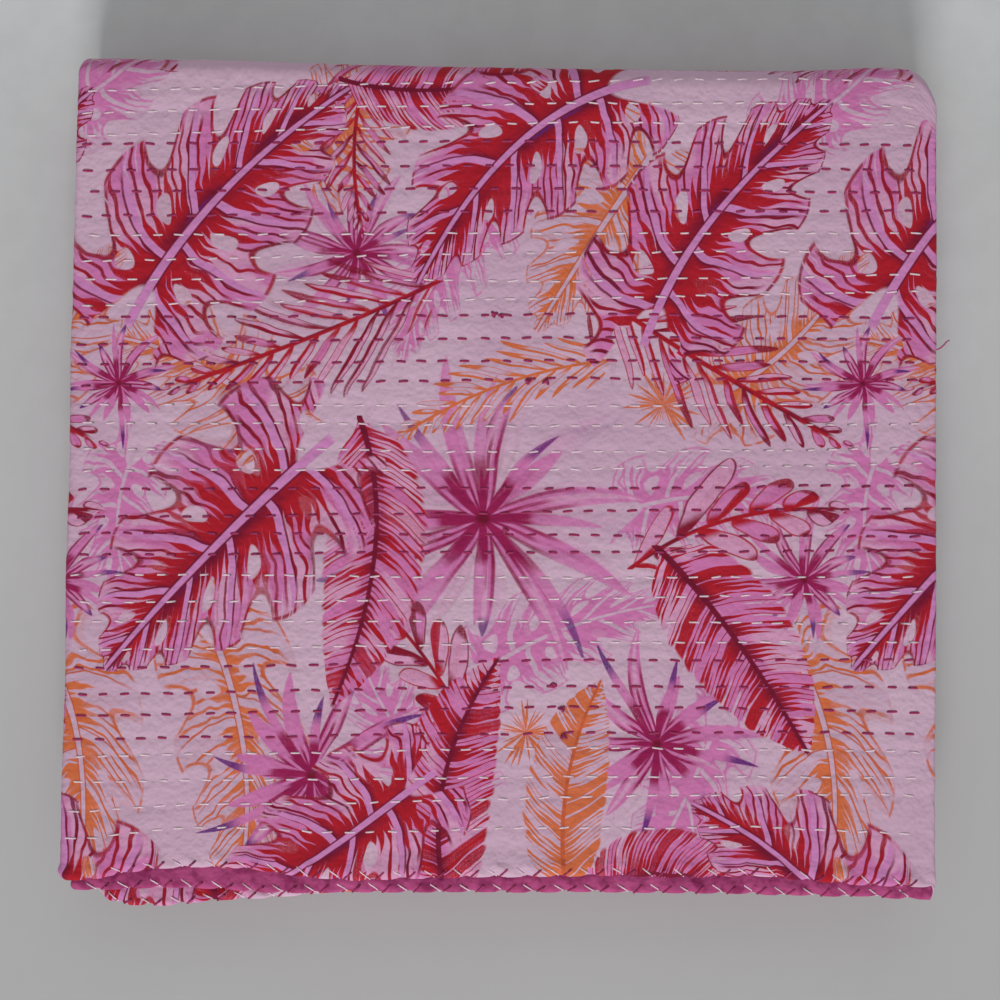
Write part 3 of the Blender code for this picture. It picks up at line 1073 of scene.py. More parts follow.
@dataclass
class Graph:
    """Builds one material's nodes."""

    tree: bpy.types.NodeTree

    def node(self, kind: str, inputs: dict | Sequence = (), **settings: object) -> bpy.types.Node:
        """Return a new node with its inputs and settings.

        Args:
            kind: The node's type.
            inputs: Its inputs in order, or by name or number.
            settings: Its properties by name.

        Returns:
            The node.
        """
        made = self.tree.nodes.new(kind)
        for name, value in settings.items():
            setattr(made, name, value)
        named = inputs if isinstance(inputs, dict) else dict(enumerate(inputs))
        for name, value in named.items():
            self.feed(made.inputs[name], value)
        return made

    def feed(self, socket: Socket, value: object) -> None:
        """Link a socket, or set it to a plain value.

        Args:
            socket: The input.
            value: A Num, a socket or a plain value.
        """
        source = value.socket if isinstance(value, Num) else value
        if isinstance(source, Socket):
            self.tree.links.new(source, socket)
        else:
            socket.default_value = source

    def maths(self, operation: str, *values: object) -> "Num":
        """Return the result of a Math node."""
        return Num(self, self.node("ShaderNodeMath", values, operation=operation).outputs[0])

    def smooth(self, value: object, start: object, end: object) -> "Num":
        """Return a soft step from 0 at start to 1 at end, which may be the lower."""
        step = {"interpolation_type": "SMOOTHSTEP", "clamp": True}
        return Num(self, self.node("ShaderNodeMapRange", (value, start, end), **step).outputs[0])

    def mix(self, share: object, low: object, high: object) -> Socket:
        """Return a colour from low to high by share."""
        return self.node("ShaderNodeMix", {0: share, 6: low, 7: high}, data_type="RGBA").outputs[2]

    def point(self, x: object, y: object, z: object = 0.0) -> Socket:
        """Return a vector of three numbers."""
        return self.node("ShaderNodeCombineXYZ", (x, y, z)).outputs[0]

    def parts(self, vector: Socket) -> tuple["Num", "Num", "Num"]:
        """Return a vector's three numbers."""
        outputs = self.node("ShaderNodeSeparateXYZ", (vector,)).outputs
        return tuple(Num(self, output) for output in outputs)

    def attribute(self, name: str) -> Socket:
        """Return a mesh attribute's vector."""
        return self.node("ShaderNodeAttribute", attribute_name=name).outputs["Vector"]

    def random(self, x: object, y: object, z: object = 0.0) -> tuple["Num", "Num", "Num"]:
        """Return three steady random numbers for a cell."""
        cell = {"Vector": self.point(x, y, z)}
        return self.parts(self.node("ShaderNodeTexWhiteNoise", cell).outputs["Color"])

    def noise(self, vector: object, scale: float, detail: float = 1.0) -> "Num":
        """Return smooth noise around 0.5."""
        settings = {"Vector": vector, "Scale": scale, "Detail": detail}
        return Num(self, self.node("ShaderNodeTexNoise", settings).outputs[0])

    def curve(self, value: object, points: Sequence[tuple[float, float]]) -> "Num":
        """Return a curve's height at value; the curve runs between its end points.

        Args:
            value: Where to read it.
            points: Places and heights, in rising order.

        Returns:
            The height.
        """
        low, high = points[0][0], points[-1][0]
        made = self.node("ShaderNodeFloatCurve", {"Value": (value - low) / (high - low)})
        line = made.mapping.curves[0]
        for index, (at, height) in enumerate(points):
            place = ((at - low) / (high - low), height)
            if index in (0, len(points) - 1):
                line.points[0 if index == 0 else -1].location = place
            else:
                line.points.new(*place)
        made.mapping.update()
        return Num(self, made.outputs[0])


@dataclass(frozen=True)
class Num:
    """A number in a node graph, with ordinary arithmetic."""

    graph: Graph
    socket: Socket

    def __add__(self, other: object) -> "Num":
        """Return the sum."""
        return self.graph.maths("ADD", self, other)

    def __sub__(self, other: object) -> "Num":
        """Return the difference."""
        return self.graph.maths("SUBTRACT", self, other)

    def __rsub__(self, other: float) -> "Num":
        """Return a plain number less this one."""
        return self.graph.maths("SUBTRACT", other, self)

    def __mul__(self, other: object) -> "Num":
        """Return the product."""
        return self.graph.maths("MULTIPLY", self, other)

    def __truediv__(self, other: object) -> "Num":
        """Return the quotient."""
        return self.graph.maths("DIVIDE", self, other)

    __radd__ = __add__
    __rmul__ = __mul__

    def size(self) -> "Num":
        """Return the number without its sign."""
        return self.graph.maths("ABSOLUTE", self)

    def floor(self) -> "Num":
        """Return the whole number below."""
        return self.graph.maths("FLOOR", self)

    def fract(self) -> "Num":
        """Return the part above the whole number."""
        return self.graph.maths("FRACT", self)

    def power(self, exponent: float) -> "Num":
        """Return the number raised to a power."""
        return self.graph.maths("POWER", self, exponent)

    def least(self, other: object) -> "Num":
        """Return the lower of two numbers."""
        return self.graph.maths("MINIMUM", self, other)

    def most(self, other: object) -> "Num":
        """Return the higher of two numbers."""
        return self.graph.maths("MAXIMUM", self, other)

    def above(self, other: object) -> "Num":
        """Return 1 where the number is above the other, and 0 elsewhere."""
        return self.graph.maths("GREATER_THAN", self, other)


def paint(g: Graph, colour: Socket, roughness: float,
          relief: object = None, depth: float = 0.0) -> bpy.types.Node:
    """Set a material's shader and return it.

    Args:
        g: The material's nodes.
        colour: Its colour.
        roughness: Its roughness.
        relief: The height that the bump reads, if it has one.
        depth: The bump's depth, in metres.

    Returns:
        The shader node.
    """
    shader = g.tree.nodes["Principled BSDF"]
    g.feed(shader.inputs["Base Color"], colour)
    shader.inputs["Roughness"].default_value = roughness
    if relief is not None:
        bump = g.node("ShaderNodeBump", {"Strength": 0.5, "Distance": depth, "Height": relief})
        g.feed(shader.inputs["Normal"], bump.outputs[0])
    return shader


def new_finish(name: str) -> tuple[Material, Graph]:
    """Return a new material and the builder of its nodes.

    Args:
        name: The material's name.

    Returns:
        The material and its Graph.
    """
    material = bpy.data.materials.new(name)
    material.use_nodes = True
    return material, Graph(material.node_tree)


@dataclass(frozen=True)
class Palette:
    """The colours of the print, of the reverse and of the threads."""

    ground: tuple = srgb(204, 167, 191)
    ground_worn: tuple = srgb(211, 176, 198)
    pale: tuple = srgb(214, 152, 188)
    pink: tuple = srgb(207, 118, 174)
    stem: tuple = srgb(207, 132, 188)
    red: tuple = srgb(176, 20, 38)
    deep: tuple = srgb(118, 10, 46)
    violet: tuple = srgb(98, 34, 118)
    orange: tuple = srgb(212, 108, 66)
    orange_deep: tuple = srgb(200, 92, 56)
    flower_heart: tuple = srgb(150, 22, 80)
    reverse: tuple = srgb(192, 84, 138)
    # The reverse's darker tone: partly uneven dye, partly painted shade of puffs and creases.
    reverse_dark: tuple = srgb(130, 24, 80)
    cream: tuple = srgb(238, 214, 224)
    cream_shade: tuple = srgb(208, 184, 194)
    maroon: tuple = srgb(168, 50, 98)
    maroon_shade: tuple = srgb(140, 36, 80)
    # Painted shade: the floor's front colour is darker than its back, standing in for light that
    # falls off towards the front.
    floor_back: tuple = srgb(220, 222, 223)
    floor_front: tuple = srgb(180, 179, 179)
    floor_shade: tuple = srgb(190, 191, 191)


COLOURS = Palette()


class Patch(NamedTuple):
    """A layer's mask and colour."""

    mask: Num
    colour: Socket


class LeafSpot(NamedTuple):
    """Where a point of cloth lies on a leaf, in the terms that the drawing rules use."""

    u: Num            # half widths to the left of the midrib
    v: Num            # 0 at the leaf's base and 1 at its tip
    seed: Num
    side: Num         # 1 to the left of the midrib and 0 to the right
    au: Num           # half widths away from the midrib
    width: Num        # the leaf's half width here, as a share of its widest
    orange: Num       # 1 on an orange leaf


@dataclass(frozen=True)
class PrintFinish:
    """Printed cotton: five layers of leaves and flowers over a pale ground."""

    soft: float = 0.016
    lobes: float = 5.0
    strokes: float = 7.0
    blade_bands: float = 15.0
    leaflets: float = 11.5
    fewer_leaflets: float = 6.5
    petals: float = 11.0
    girth: float = 0.170
    rays: float = 34.0
    least_width: float = 0.02
    roughness: float = 0.88

    def spot(self, g: Graph, motif: Motif) -> LeafSpot:
        """Return where a point of cloth lies on the leaf that a layer of the print has there."""
        u, v, seed = g.parts(g.attribute(motif.value))
        return LeafSpot(u, v, seed, u.above(0.0), u.size(), g.curve(v, PROFILES[motif]),
                        seed.above(Ink.ORANGE.start))

    def split_leaf(self, g: Graph, motif: Motif) -> Patch:
        """Draw the broad leaf with holes and deep splits between its veins.

        Args:
            g: The material's nodes.
            motif: The layer.

        Returns:
            The layer's mask and colour.
        """
        u, v, seed, side, au, width, orange = self.spot(g, motif)
        pale = seed.above(Ink.PINK.start)
        reach = au / width.most(self.least_width)
        wander = g.noise(g.point(u * 3.0, v * 4.0, seed), 1.0) - 0.5
        lean = side * 0.26 - 0.36
        origin = (v - au * lean - au * au * 0.17 + wander * 0.045) / (au + 1.0)
        q = origin * self.lobes + side * 0.45 + seed * 0.37
        f = q.fract() - 0.5
        r1, r2, r3 = g.random(q.floor(), side * 7.0 + 1.0, seed)
        to_vein = 0.5 - f.size()
        # Each lobe's rounded end, the bay or long hole beside it and a drop nearer the midrib.
        end = 1.0 - (to_vein * 2.0).power(2.0) * 0.15
        blade = g.smooth(reach, end + self.soft, end - self.soft)
        hole_edge = orange * 0.35 + 1.0
        bay_across = (f + (r2 - 0.5) * 0.08) / (reach * 0.12 + 0.12)
        bay_along = (reach - r1 * 0.18 - 0.84) / (r2 * 0.10 + 0.29)
        bay = bay_across * bay_across + bay_along * bay_along
        blade = blade * g.smooth(bay, hole_edge - 0.10, hole_edge + 0.10)
        drop_across = (f - (r3 - 0.5) * 0.16) / (reach * 0.26 + 0.04)
        drop_along = (reach - r3 * 0.05 - 0.31) / (r1 * 0.05 + 0.100)
        drop = drop_across * drop_across + drop_along * drop_along
        blade = blade * g.smooth(drop + r2.above(0.82) * 9.0, hole_edge - 0.12, hole_edge + 0.14)
        notch = g.smooth(v + g.smooth(au, 0.03, 0.5) * 0.31, -0.01, 0.02)
        blade = blade * notch * g.smooth(width, 0.01, 0.06)
        # The fill spreads from the midrib in pointed strokes; the lobes' ends stay pink.
        sway = g.noise(g.point(u * 3.6, v * 5.2, seed), 1.0) - 0.5
        fine = origin * (self.lobes * self.strokes) + sway * 1.7
        fine_f = (fine.fract() - 0.5).size()
        s1, s2, s3 = g.random(fine.floor(), side * 5.0 + 2.0, seed + 3.0)
        spread = s1 * 0.38 + 0.32 - fine_f * 0.46 + (r3 - 0.5) * 0.10 - orange * 0.14
        spread = spread + pale * 0.34
        fill = g.smooth(spread - reach, -0.015, 0.025)
        slit = g.smooth(fine_f, 0.34, 0.42) * s1.above(0.55) * g.smooth(reach, 0.70, 0.86)
        blade = blade * (1.0 - slit * 0.85)
        stroke = g.smooth(fine_f, 0.20, 0.11) * s2.above(0.22)
        stroke = stroke * g.smooth(reach, s3 * 0.45 + 0.78, s3 * 0.45 + 0.62)
        bank = g.smooth(bay, hole_edge + 0.55, hole_edge + 0.32) * g.smooth(reach, 0.98, 0.84)
        rim = g.smooth(reach, end - 0.05, end - 0.025) * r3.above(0.30)
        drawn = stroke.most(bank).most(rim * 0.9) * (1.0 - fill)
        light = g.smooth(g.noise(g.point(fine * 0.40, reach * 1.3, seed), 1.0), 0.47, 0.58)
        dark = g.smooth(au, 0.20, 0.05) * g.smooth(wander, -0.20, 0.06) * (side * 0.6 + 0.4)
        dark = dark.most(g.smooth(f, 0.28, 0.42) * g.smooth(reach, 0.6, 0.2) * 0.8)
        bruise = g.smooth(dark * (wander + 0.5), 0.56, 0.72)
        pink = g.mix(light, COLOURS.pink, COLOURS.pale)
        pink = g.mix(orange, pink, COLOURS.ground)
        red = g.mix(bruise, g.mix(dark, COLOURS.red, COLOURS.deep), COLOURS.violet)
        red = g.mix(pale, g.mix(orange, red, COLOURS.orange), COLOURS.pink)
        line = g.mix(orange, COLOURS.deep, COLOURS.orange_deep)
        line = g.mix(pale, line, COLOURS.pink)
        ink = g.mix(s2, red, line)
        colour = g.mix(drawn, g.mix(fill, pink, red), ink)
        stem = g.mix(orange, COLOURS.stem, COLOURS.ground)
        vein_width = 0.074 - reach * 0.050
        beside = g.smooth(to_vein, vein_width + 0.040, vein_width + 0.022) * f.above(0.0)
        colour = g.mix(beside * g.smooth(reach, 1.0, 0.7) * 0.9, colour, line)
        vein = g.smooth(to_vein, vein_width + 0.010, vein_width - 0.008)
        colour = g.mix(vein * g.smooth(reach, 1.0, 0.90), colour, stem)
        rib_width = 0.042 - v * 0.026
        colour = g.mix(g.smooth(au, rib_width + 0.026, rib_width + 0.012), colour, line)
        rib = g.smooth(au, rib_width + 0.008, rib_width - 0.006)
        colour = g.mix(rib, colour, stem)
        return Patch(blade.most(rib * g.smooth(v, -0.18, -0.15) * g.smooth(v, 1.02, 0.99)), colour)

    def blade(self, g: Graph) -> Patch:
        """Draw the long leaf with close side veins.

        Args:
            g: The material's nodes.

        Returns:
            The layer's mask and colour.
        """
        u, v, seed, side, au, width, orange = self.spot(g, Motif.BLADE)
        reach = au / width.most(self.least_width)
        wander = g.noise(g.point(u * 2.0, v * 5.0, seed), 1.0) - 0.5
        q = (v - au * 0.10 - au * au * 0.05 + wander * 0.03) * self.blade_bands + side * 0.5 + seed
        f = (q.fract() - 0.5).size()
        r1, r2, r3 = g.random(q.floor(), side * 3.0 + 4.0, seed)
        end = 1.0 - f * f * 0.5 * r3 - r1 * 0.06
        mask = g.smooth(reach, end + 0.03, end - 0.03)
        gap = g.smooth(f, 0.36, 0.44) * g.smooth(reach, r2 * 0.8 + 0.4, r2 * 0.8 + 0.5)
        mask = mask * (1.0 - gap) * g.smooth(width, 0.01, 0.08)
        fine = q * 3.0
        fine_f = (fine.fract() - 0.5).size()
        s1, s2, s3 = g.random(fine.floor(), side * 9.0 + 5.0, seed + 7.0)
        inner = g.smooth(s1 * 0.95 - fine_f * 1.05 + r1 * 0.36 - reach - 0.20, -0.02, 0.04)
        outer = g.smooth(s2 * 0.95 - fine_f * 1.1 + reach - 1.22, -0.02, 0.04)
        block = r2.above(0.80) * g.smooth(f, 0.46, 0.38)
        line = g.smooth(fine_f, 0.13, 0.06) * s3.above(0.50)
        fill = inner.most(outer).most(block).most(line)
        light = r3.above(0.55) * g.smooth(reach, 0.10, 0.35)
        pink = g.mix(light, COLOURS.pink, COLOURS.pale)
        pink = g.mix(orange, pink, COLOURS.ground)
        red = g.mix(g.smooth(reach, 0.28, 0.05) * 0.7, COLOURS.red, COLOURS.deep)
        red = g.mix(orange, red, COLOURS.orange)
        colour = g.mix(fill, pink, red)
        rib_width = 0.045 - v * 0.025
        rib = g.smooth(au, rib_width + 0.025, rib_width)
        colour = g.mix(rib, colour, g.mix(orange, COLOURS.deep, COLOURS.orange_deep))
        return Patch(mask.most(rib * g.smooth(v, 1.03, 0.99) * g.smooth(v, -0.12, -0.08)), colour)

    def frond(self, g: Graph) -> Patch:
        """Draw the palm frond, and the sprig of a few broad leaflets.

        Args:
            g: The material's nodes.

        Returns:
            The layer's mask and colour.
        """
        u, v, seed, side, au, width, orange = self.spot(g, Motif.FROND)
        sparse = (seed - orange * Ink.ORANGE.value).above(Ink.RED_SPARSE.start)
        count = self.leaflets - sparse * self.fewer_leaflets
        wander = g.noise(g.point(u * 2.0, v * 4.0, seed), 1.0) - 0.5
        q = (v - au * 0.40 + au * au * 0.05 + wander * 0.07) * count + side * 0.5 + seed * 0.6
        f = q.fract() - 0.5
        r1, r2, r3 = g.random(q.floor(), side * 3.0 + 4.0, seed)
        f = f + (r2 - 0.5) * 0.22
        reach = au / (width * (r1 * 0.50 + 0.56)).most(self.least_width)
        share = reach.least(1.0)
        body = (share * (1.0 - share)).power(0.62) * (sparse * 0.30 + 0.66) + (1.0 - share) * 0.03
        mask = g.smooth(f.size(), body + 0.03, body - 0.03) * g.smooth(reach, 1.01, 0.98)
        mask = mask * g.smooth(width, 0.01, 0.08)
        half = g.smooth(f, 0.02, 0.05)
        edge = g.smooth(f.size(), body - 0.09, body - 0.04)
        tip = g.smooth(reach, r3 * 0.5 + 0.50, r3 * 0.5 + 0.62)
        root = g.smooth(reach, 0.30, 0.12)
        fill = (half * r2.above(0.25)).most(edge).most(tip).most(root)
        pink = g.mix(r3.above(0.45), COLOURS.pink, COLOURS.pale)
        pink = g.mix(orange, pink, COLOURS.ground)
        red = g.mix((tip * 0.6).most(r1.above(0.7) * 0.8), COLOURS.red, COLOURS.deep)
        red = g.mix(orange, red, COLOURS.orange)
        colour = g.mix(fill, pink, red)
        rib = g.smooth(au, 0.045, 0.022) * g.smooth(v, 1.04, 1.0) * g.smooth(v, -0.2, -0.16)
        return Patch(mask.most(rib), g.mix(rib, colour, red))

    def petals_at(self, g: Graph, x: Num, y: Num, seed: Num, count: float, turn: float,
                  width: object) -> tuple[Num, Num, Num, Num]:
        """Return a whorl's mask, the share along each petal, its middle line and a random number.

        Args:
            g: The material's nodes.
            x: To the right of the flower's middle.
            y: Up from it.
            seed: The flower's seed.
            count: The number of petals.
            turn: How far the whorl is turned, in petals.
            width: The petals' girth.

        Returns:
            The four numbers.
        """
        r = (x * x + y * y).power(0.5)
        angle = g.maths("ARCTAN2", y, x) / (2.0 * math.pi) + r * r * 0.030
        q = angle * count + seed * 0.31 + turn
        offset = q.fract() - 0.5
        r1, r2, r3 = g.random(q.floor(), seed + turn)
        bow = (r2 - 0.5) * 0.8 * (1.0 - r) * g.smooth(r, 0.0, 0.4)
        across = (offset + bow).size() * (2.0 * math.pi / count) * r
        share = r / (r1 * 0.45 + 0.57)
        inside = share.least(1.0)
        body = (inside * (1.0 - inside)).power(0.75) * width + (1.0 - inside) * 0.012
        mask = g.smooth(across, body + 0.006, body - 0.006) * g.smooth(share, 1.0, 0.98)
        return mask, share, across / body.most(0.004), r3

    def flower(self, g: Graph) -> Patch:
        """Draw the starry flower of long pointed petals, and the small orange burst.

        Args:
            g: The material's nodes.

        Returns:
            The layer's mask and colour.
        """
        x, y, seed = g.parts(g.attribute(Motif.FLOWER.value))
        burst = seed.above(Ink.ORANGE_SPARSE.start)
        slender = seed.above(Ink.RED_SPARSE.start)
        r = (x * x + y * y).power(0.5)
        girth = self.girth - slender * 0.022
        wide, share, line, pick = self.petals_at(g, x, y, seed, self.petals, 0.0, girth)
        slim, far, _, choice = self.petals_at(g, x, y, seed, self.petals - 3.0, 0.43, girth * 0.52)
        edge = g.smooth(line, 0.50, 0.72) * g.smooth(share, pick * 0.5 + 0.42, pick * 0.5 + 0.22)
        strand = g.smooth(line, 0.26, 0.12) * g.smooth(share, pick * 0.4 + 0.30, pick * 0.4 + 0.16)
        streak = g.smooth(line, 0.42, 0.22) * g.smooth(share, 0.30, 0.45) * pick.above(0.35)
        body = g.mix(streak, COLOURS.pink, COLOURS.pale)
        body = g.mix(edge.most(strand), body, COLOURS.flower_heart)
        body = g.mix(g.smooth(share, 0.78, 0.92) * pick.above(0.72), body, COLOURS.violet)
        slim_body = g.mix(g.smooth(far, 0.46, 0.36), COLOURS.pink, COLOURS.flower_heart)
        slim_body = g.mix(g.smooth(far, 0.60, 0.78) * choice.above(0.40), slim_body, COLOURS.violet)
        colour = g.mix(slim, body, slim_body)
        middle = g.smooth(r, 0.055, 0.020)
        colour = g.mix(middle, colour, COLOURS.deep)
        rays = g.maths("ARCTAN2", y, x) * (self.rays / (2.0 * math.pi)) + seed
        r1, _, _ = g.random(rays.floor(), seed)
        spike = g.smooth(r1 * 0.85 + 0.25 - (rays.fract() - 0.5).size() * 1.1 - r, -0.02, 0.05)
        mask = wide.most(slim).most(middle)
        mask = mask * (1.0 - burst) + spike * burst
        return Patch(mask, g.mix(burst, colour, COLOURS.orange))

    def build(self) -> Material:
        """Make the printed cotton's material.

        Returns:
            The material.
        """
        material, g = new_finish("printed_face")
        weave = g.attribute("weave")
        fade = g.noise(weave, 9.0, 2.0)
        colour = g.mix(g.smooth(fade, 0.35, 0.65), COLOURS.ground, COLOURS.ground_worn)
        for patch in (
            self.split_leaf(g, Motif.BACK_LEAF),
            self.flower(g),
            self.frond(g),
            self.blade(g),
            self.split_leaf(g, Motif.SPLIT_LEAF),
        ):
            colour = g.mix(patch.mask, colour, patch.colour)
        finish_cloth(g, colour, weave, self.roughness)
        return material


THREADS_PER_METRE = 1500.0
THREAD_STRETCH = 0.10
CRINKLES_PER_METRE = 190.0
CRUMPLES_PER_METRE = 330.0
SLUB_HEIGHT = 0.25
CRINKLE_HEIGHT = 8.5
CRUMPLE_HEIGHT = 3.0
CLOTH_BUMP = 0.00025


def finish_cloth(g: Graph, colour: Socket, weave: Socket,
                 roughness: float) -> None:
    """Give the cloth's shader its colour, thread-to-thread variation, weave and soft sheen.

    Args:
        g: The material's nodes.
        colour: The cloth's own colour.
        weave: The place in the flat cloth, in metres.
        roughness: The shader's roughness.
    """
    s, t, _ = g.parts(weave)
    weft = g.noise(g.point(s * THREAD_STRETCH, t), THREADS_PER_METRE)
    warp = g.noise(g.point(s, t * THREAD_STRETCH), THREADS_PER_METRE)
    slub = weft * 0.6 + warp * 0.4
    crinkle = g.noise(g.point(s, t), CRINKLES_PER_METRE)
    crumple = g.noise(g.point(s, t), CRUMPLES_PER_METRE)
    value = g.smooth(slub, 0.30, 0.70) * 0.06 + 0.97
    shaded = g.node("ShaderNodeHueSaturation", {"Value": value, "Color": colour})
    relief = slub * SLUB_HEIGHT + crinkle * CRINKLE_HEIGHT + crumple * CRUMPLE_HEIGHT
    shader = paint(g, shaded.outputs[0], roughness, relief, CLOTH_BUMP)
    shader.inputs["Specular IOR Level"].default_value = 0.25
    shader.inputs["Sheen Weight"].default_value = 0.04
    shader.inputs["Sheen Roughness"].default_value = 0.5


@dataclass(frozen=True)
class ReverseFinish:
    """The plain dyed reverse of the quilt, with some painted shade in its colour."""

    roughness: float = 0.90

    def build(self) -> Material:
        """Make the reverse's material.

        Returns:
            The material.
        """
        material, g = new_finish("plain_reverse")
        weave = g.attribute("weave")
        fade = g.noise(weave, 14.0, 3.0)
        # Small random darker patches: partly the dye's uneven tone, partly painted shade standing in
        # for the hem's puffs and creases.
        tone_and_painted_shade = g.noise(weave, 120.0, 2.0)
        colour = g.mix(g.smooth(fade, 0.30, 0.70) * 0.45 + g.smooth(tone_and_painted_shade, 0.42, 0.66) * 0.45,
                       COLOURS.reverse, COLOURS.reverse_dark)
        finish_cloth(g, colour, weave, self.roughness)
        return material


@dataclass(frozen=True)
class ThreadFinish:
    """Twisted cotton sewing thread."""

    name: str
    colour: tuple
    shade: tuple
    fibres_per_metre: float = 900.0
    patches_per_metre: float = 60.0
    roughness: float = 0.72
    bump: float = 0.0002

    def build(self) -> Material:
        """Make the thread's material.

        Returns:
            The material.
        """
        material, g = new_finish(self.name)
        place = g.node("ShaderNodeTexCoord").outputs["Object"]
        fibre = g.noise(place, self.fibres_per_metre, 2.0)
        broad = g.noise(place, self.patches_per_metre)
        colour = g.mix(g.smooth(fibre, 0.35, 0.7) * 0.5 + g.smooth(broad, 0.4, 0.7) * 0.25,
                       self.colour, self.shade)
        shader = paint(g, colour, self.roughness, fibre, self.bump)
        shader.inputs["Specular IOR Level"].default_value = 0.3
        shader.inputs["Sheen Weight"].default_value = 0.03
        return material


@dataclass(frozen=True)
class FloorFinish:
    """The pale floor, with painted shade that darkens it towards the front."""

    roughness: float = 0.6

    def build(self) -> Material:
        """Make the floor's material.

        Returns:
            The material.
        """
        material, g = new_finish("pale_floor")
        place = g.node("ShaderNodeTexCoord").outputs["Object"]
        cloud = g.noise(place, 3.0, 3.0)
        speck = g.noise(place, 45.0, 3.0)
        _, y, _ = g.parts(place)
        # Painted shade: the floor's colour darkens towards the front, standing in for light that
        # falls off there.
        tone_and_painted_shade = g.mix(g.smooth(y, -0.62, 0.62), COLOURS.floor_front, COLOURS.floor_back)
        colour = g.mix(g.smooth(cloud, 0.35, 0.65) * 0.35 + g.smooth(speck, 0.4, 0.6) * 0.12,
                       tone_and_painted_shade, COLOURS.floor_shade)
        paint(g, colour, self.roughness)
        return material


# ---- The cloth pieces ----

def spans(start: float, *runs: tuple[float, float]) -> Array:
    """Return lines over runs that follow each other, with each run's end met exactly.

    Args:
        start: Where the first run starts.
        runs: Each run's end and its greatest pitch.

    Returns:
        The places of the lines.
    """
    lines = [np.array([start])]
    for end, pitch in runs:
        count = max(1, math.ceil((end - start) / pitch - 1e-6))
        lines.append(np.linspace(start, end, count + 1)[1:])
        start = end
    return np.concatenate(lines)


@dataclass
class ClothCut:
    """One piece of the sheet, between two lines each way."""

    name: str
    s_lines: Array
    t_lines: Array
    rests_on: tuple[str, ...] = ()

    @property
    def flat(self) -> tuple[float, float]:
        """Return the piece's flat width and length."""
        return (
            float(self.s_lines[-1] - self.s_lines[0]),
            float(self.t_lines[-1] - self.t_lines[0]),
        )


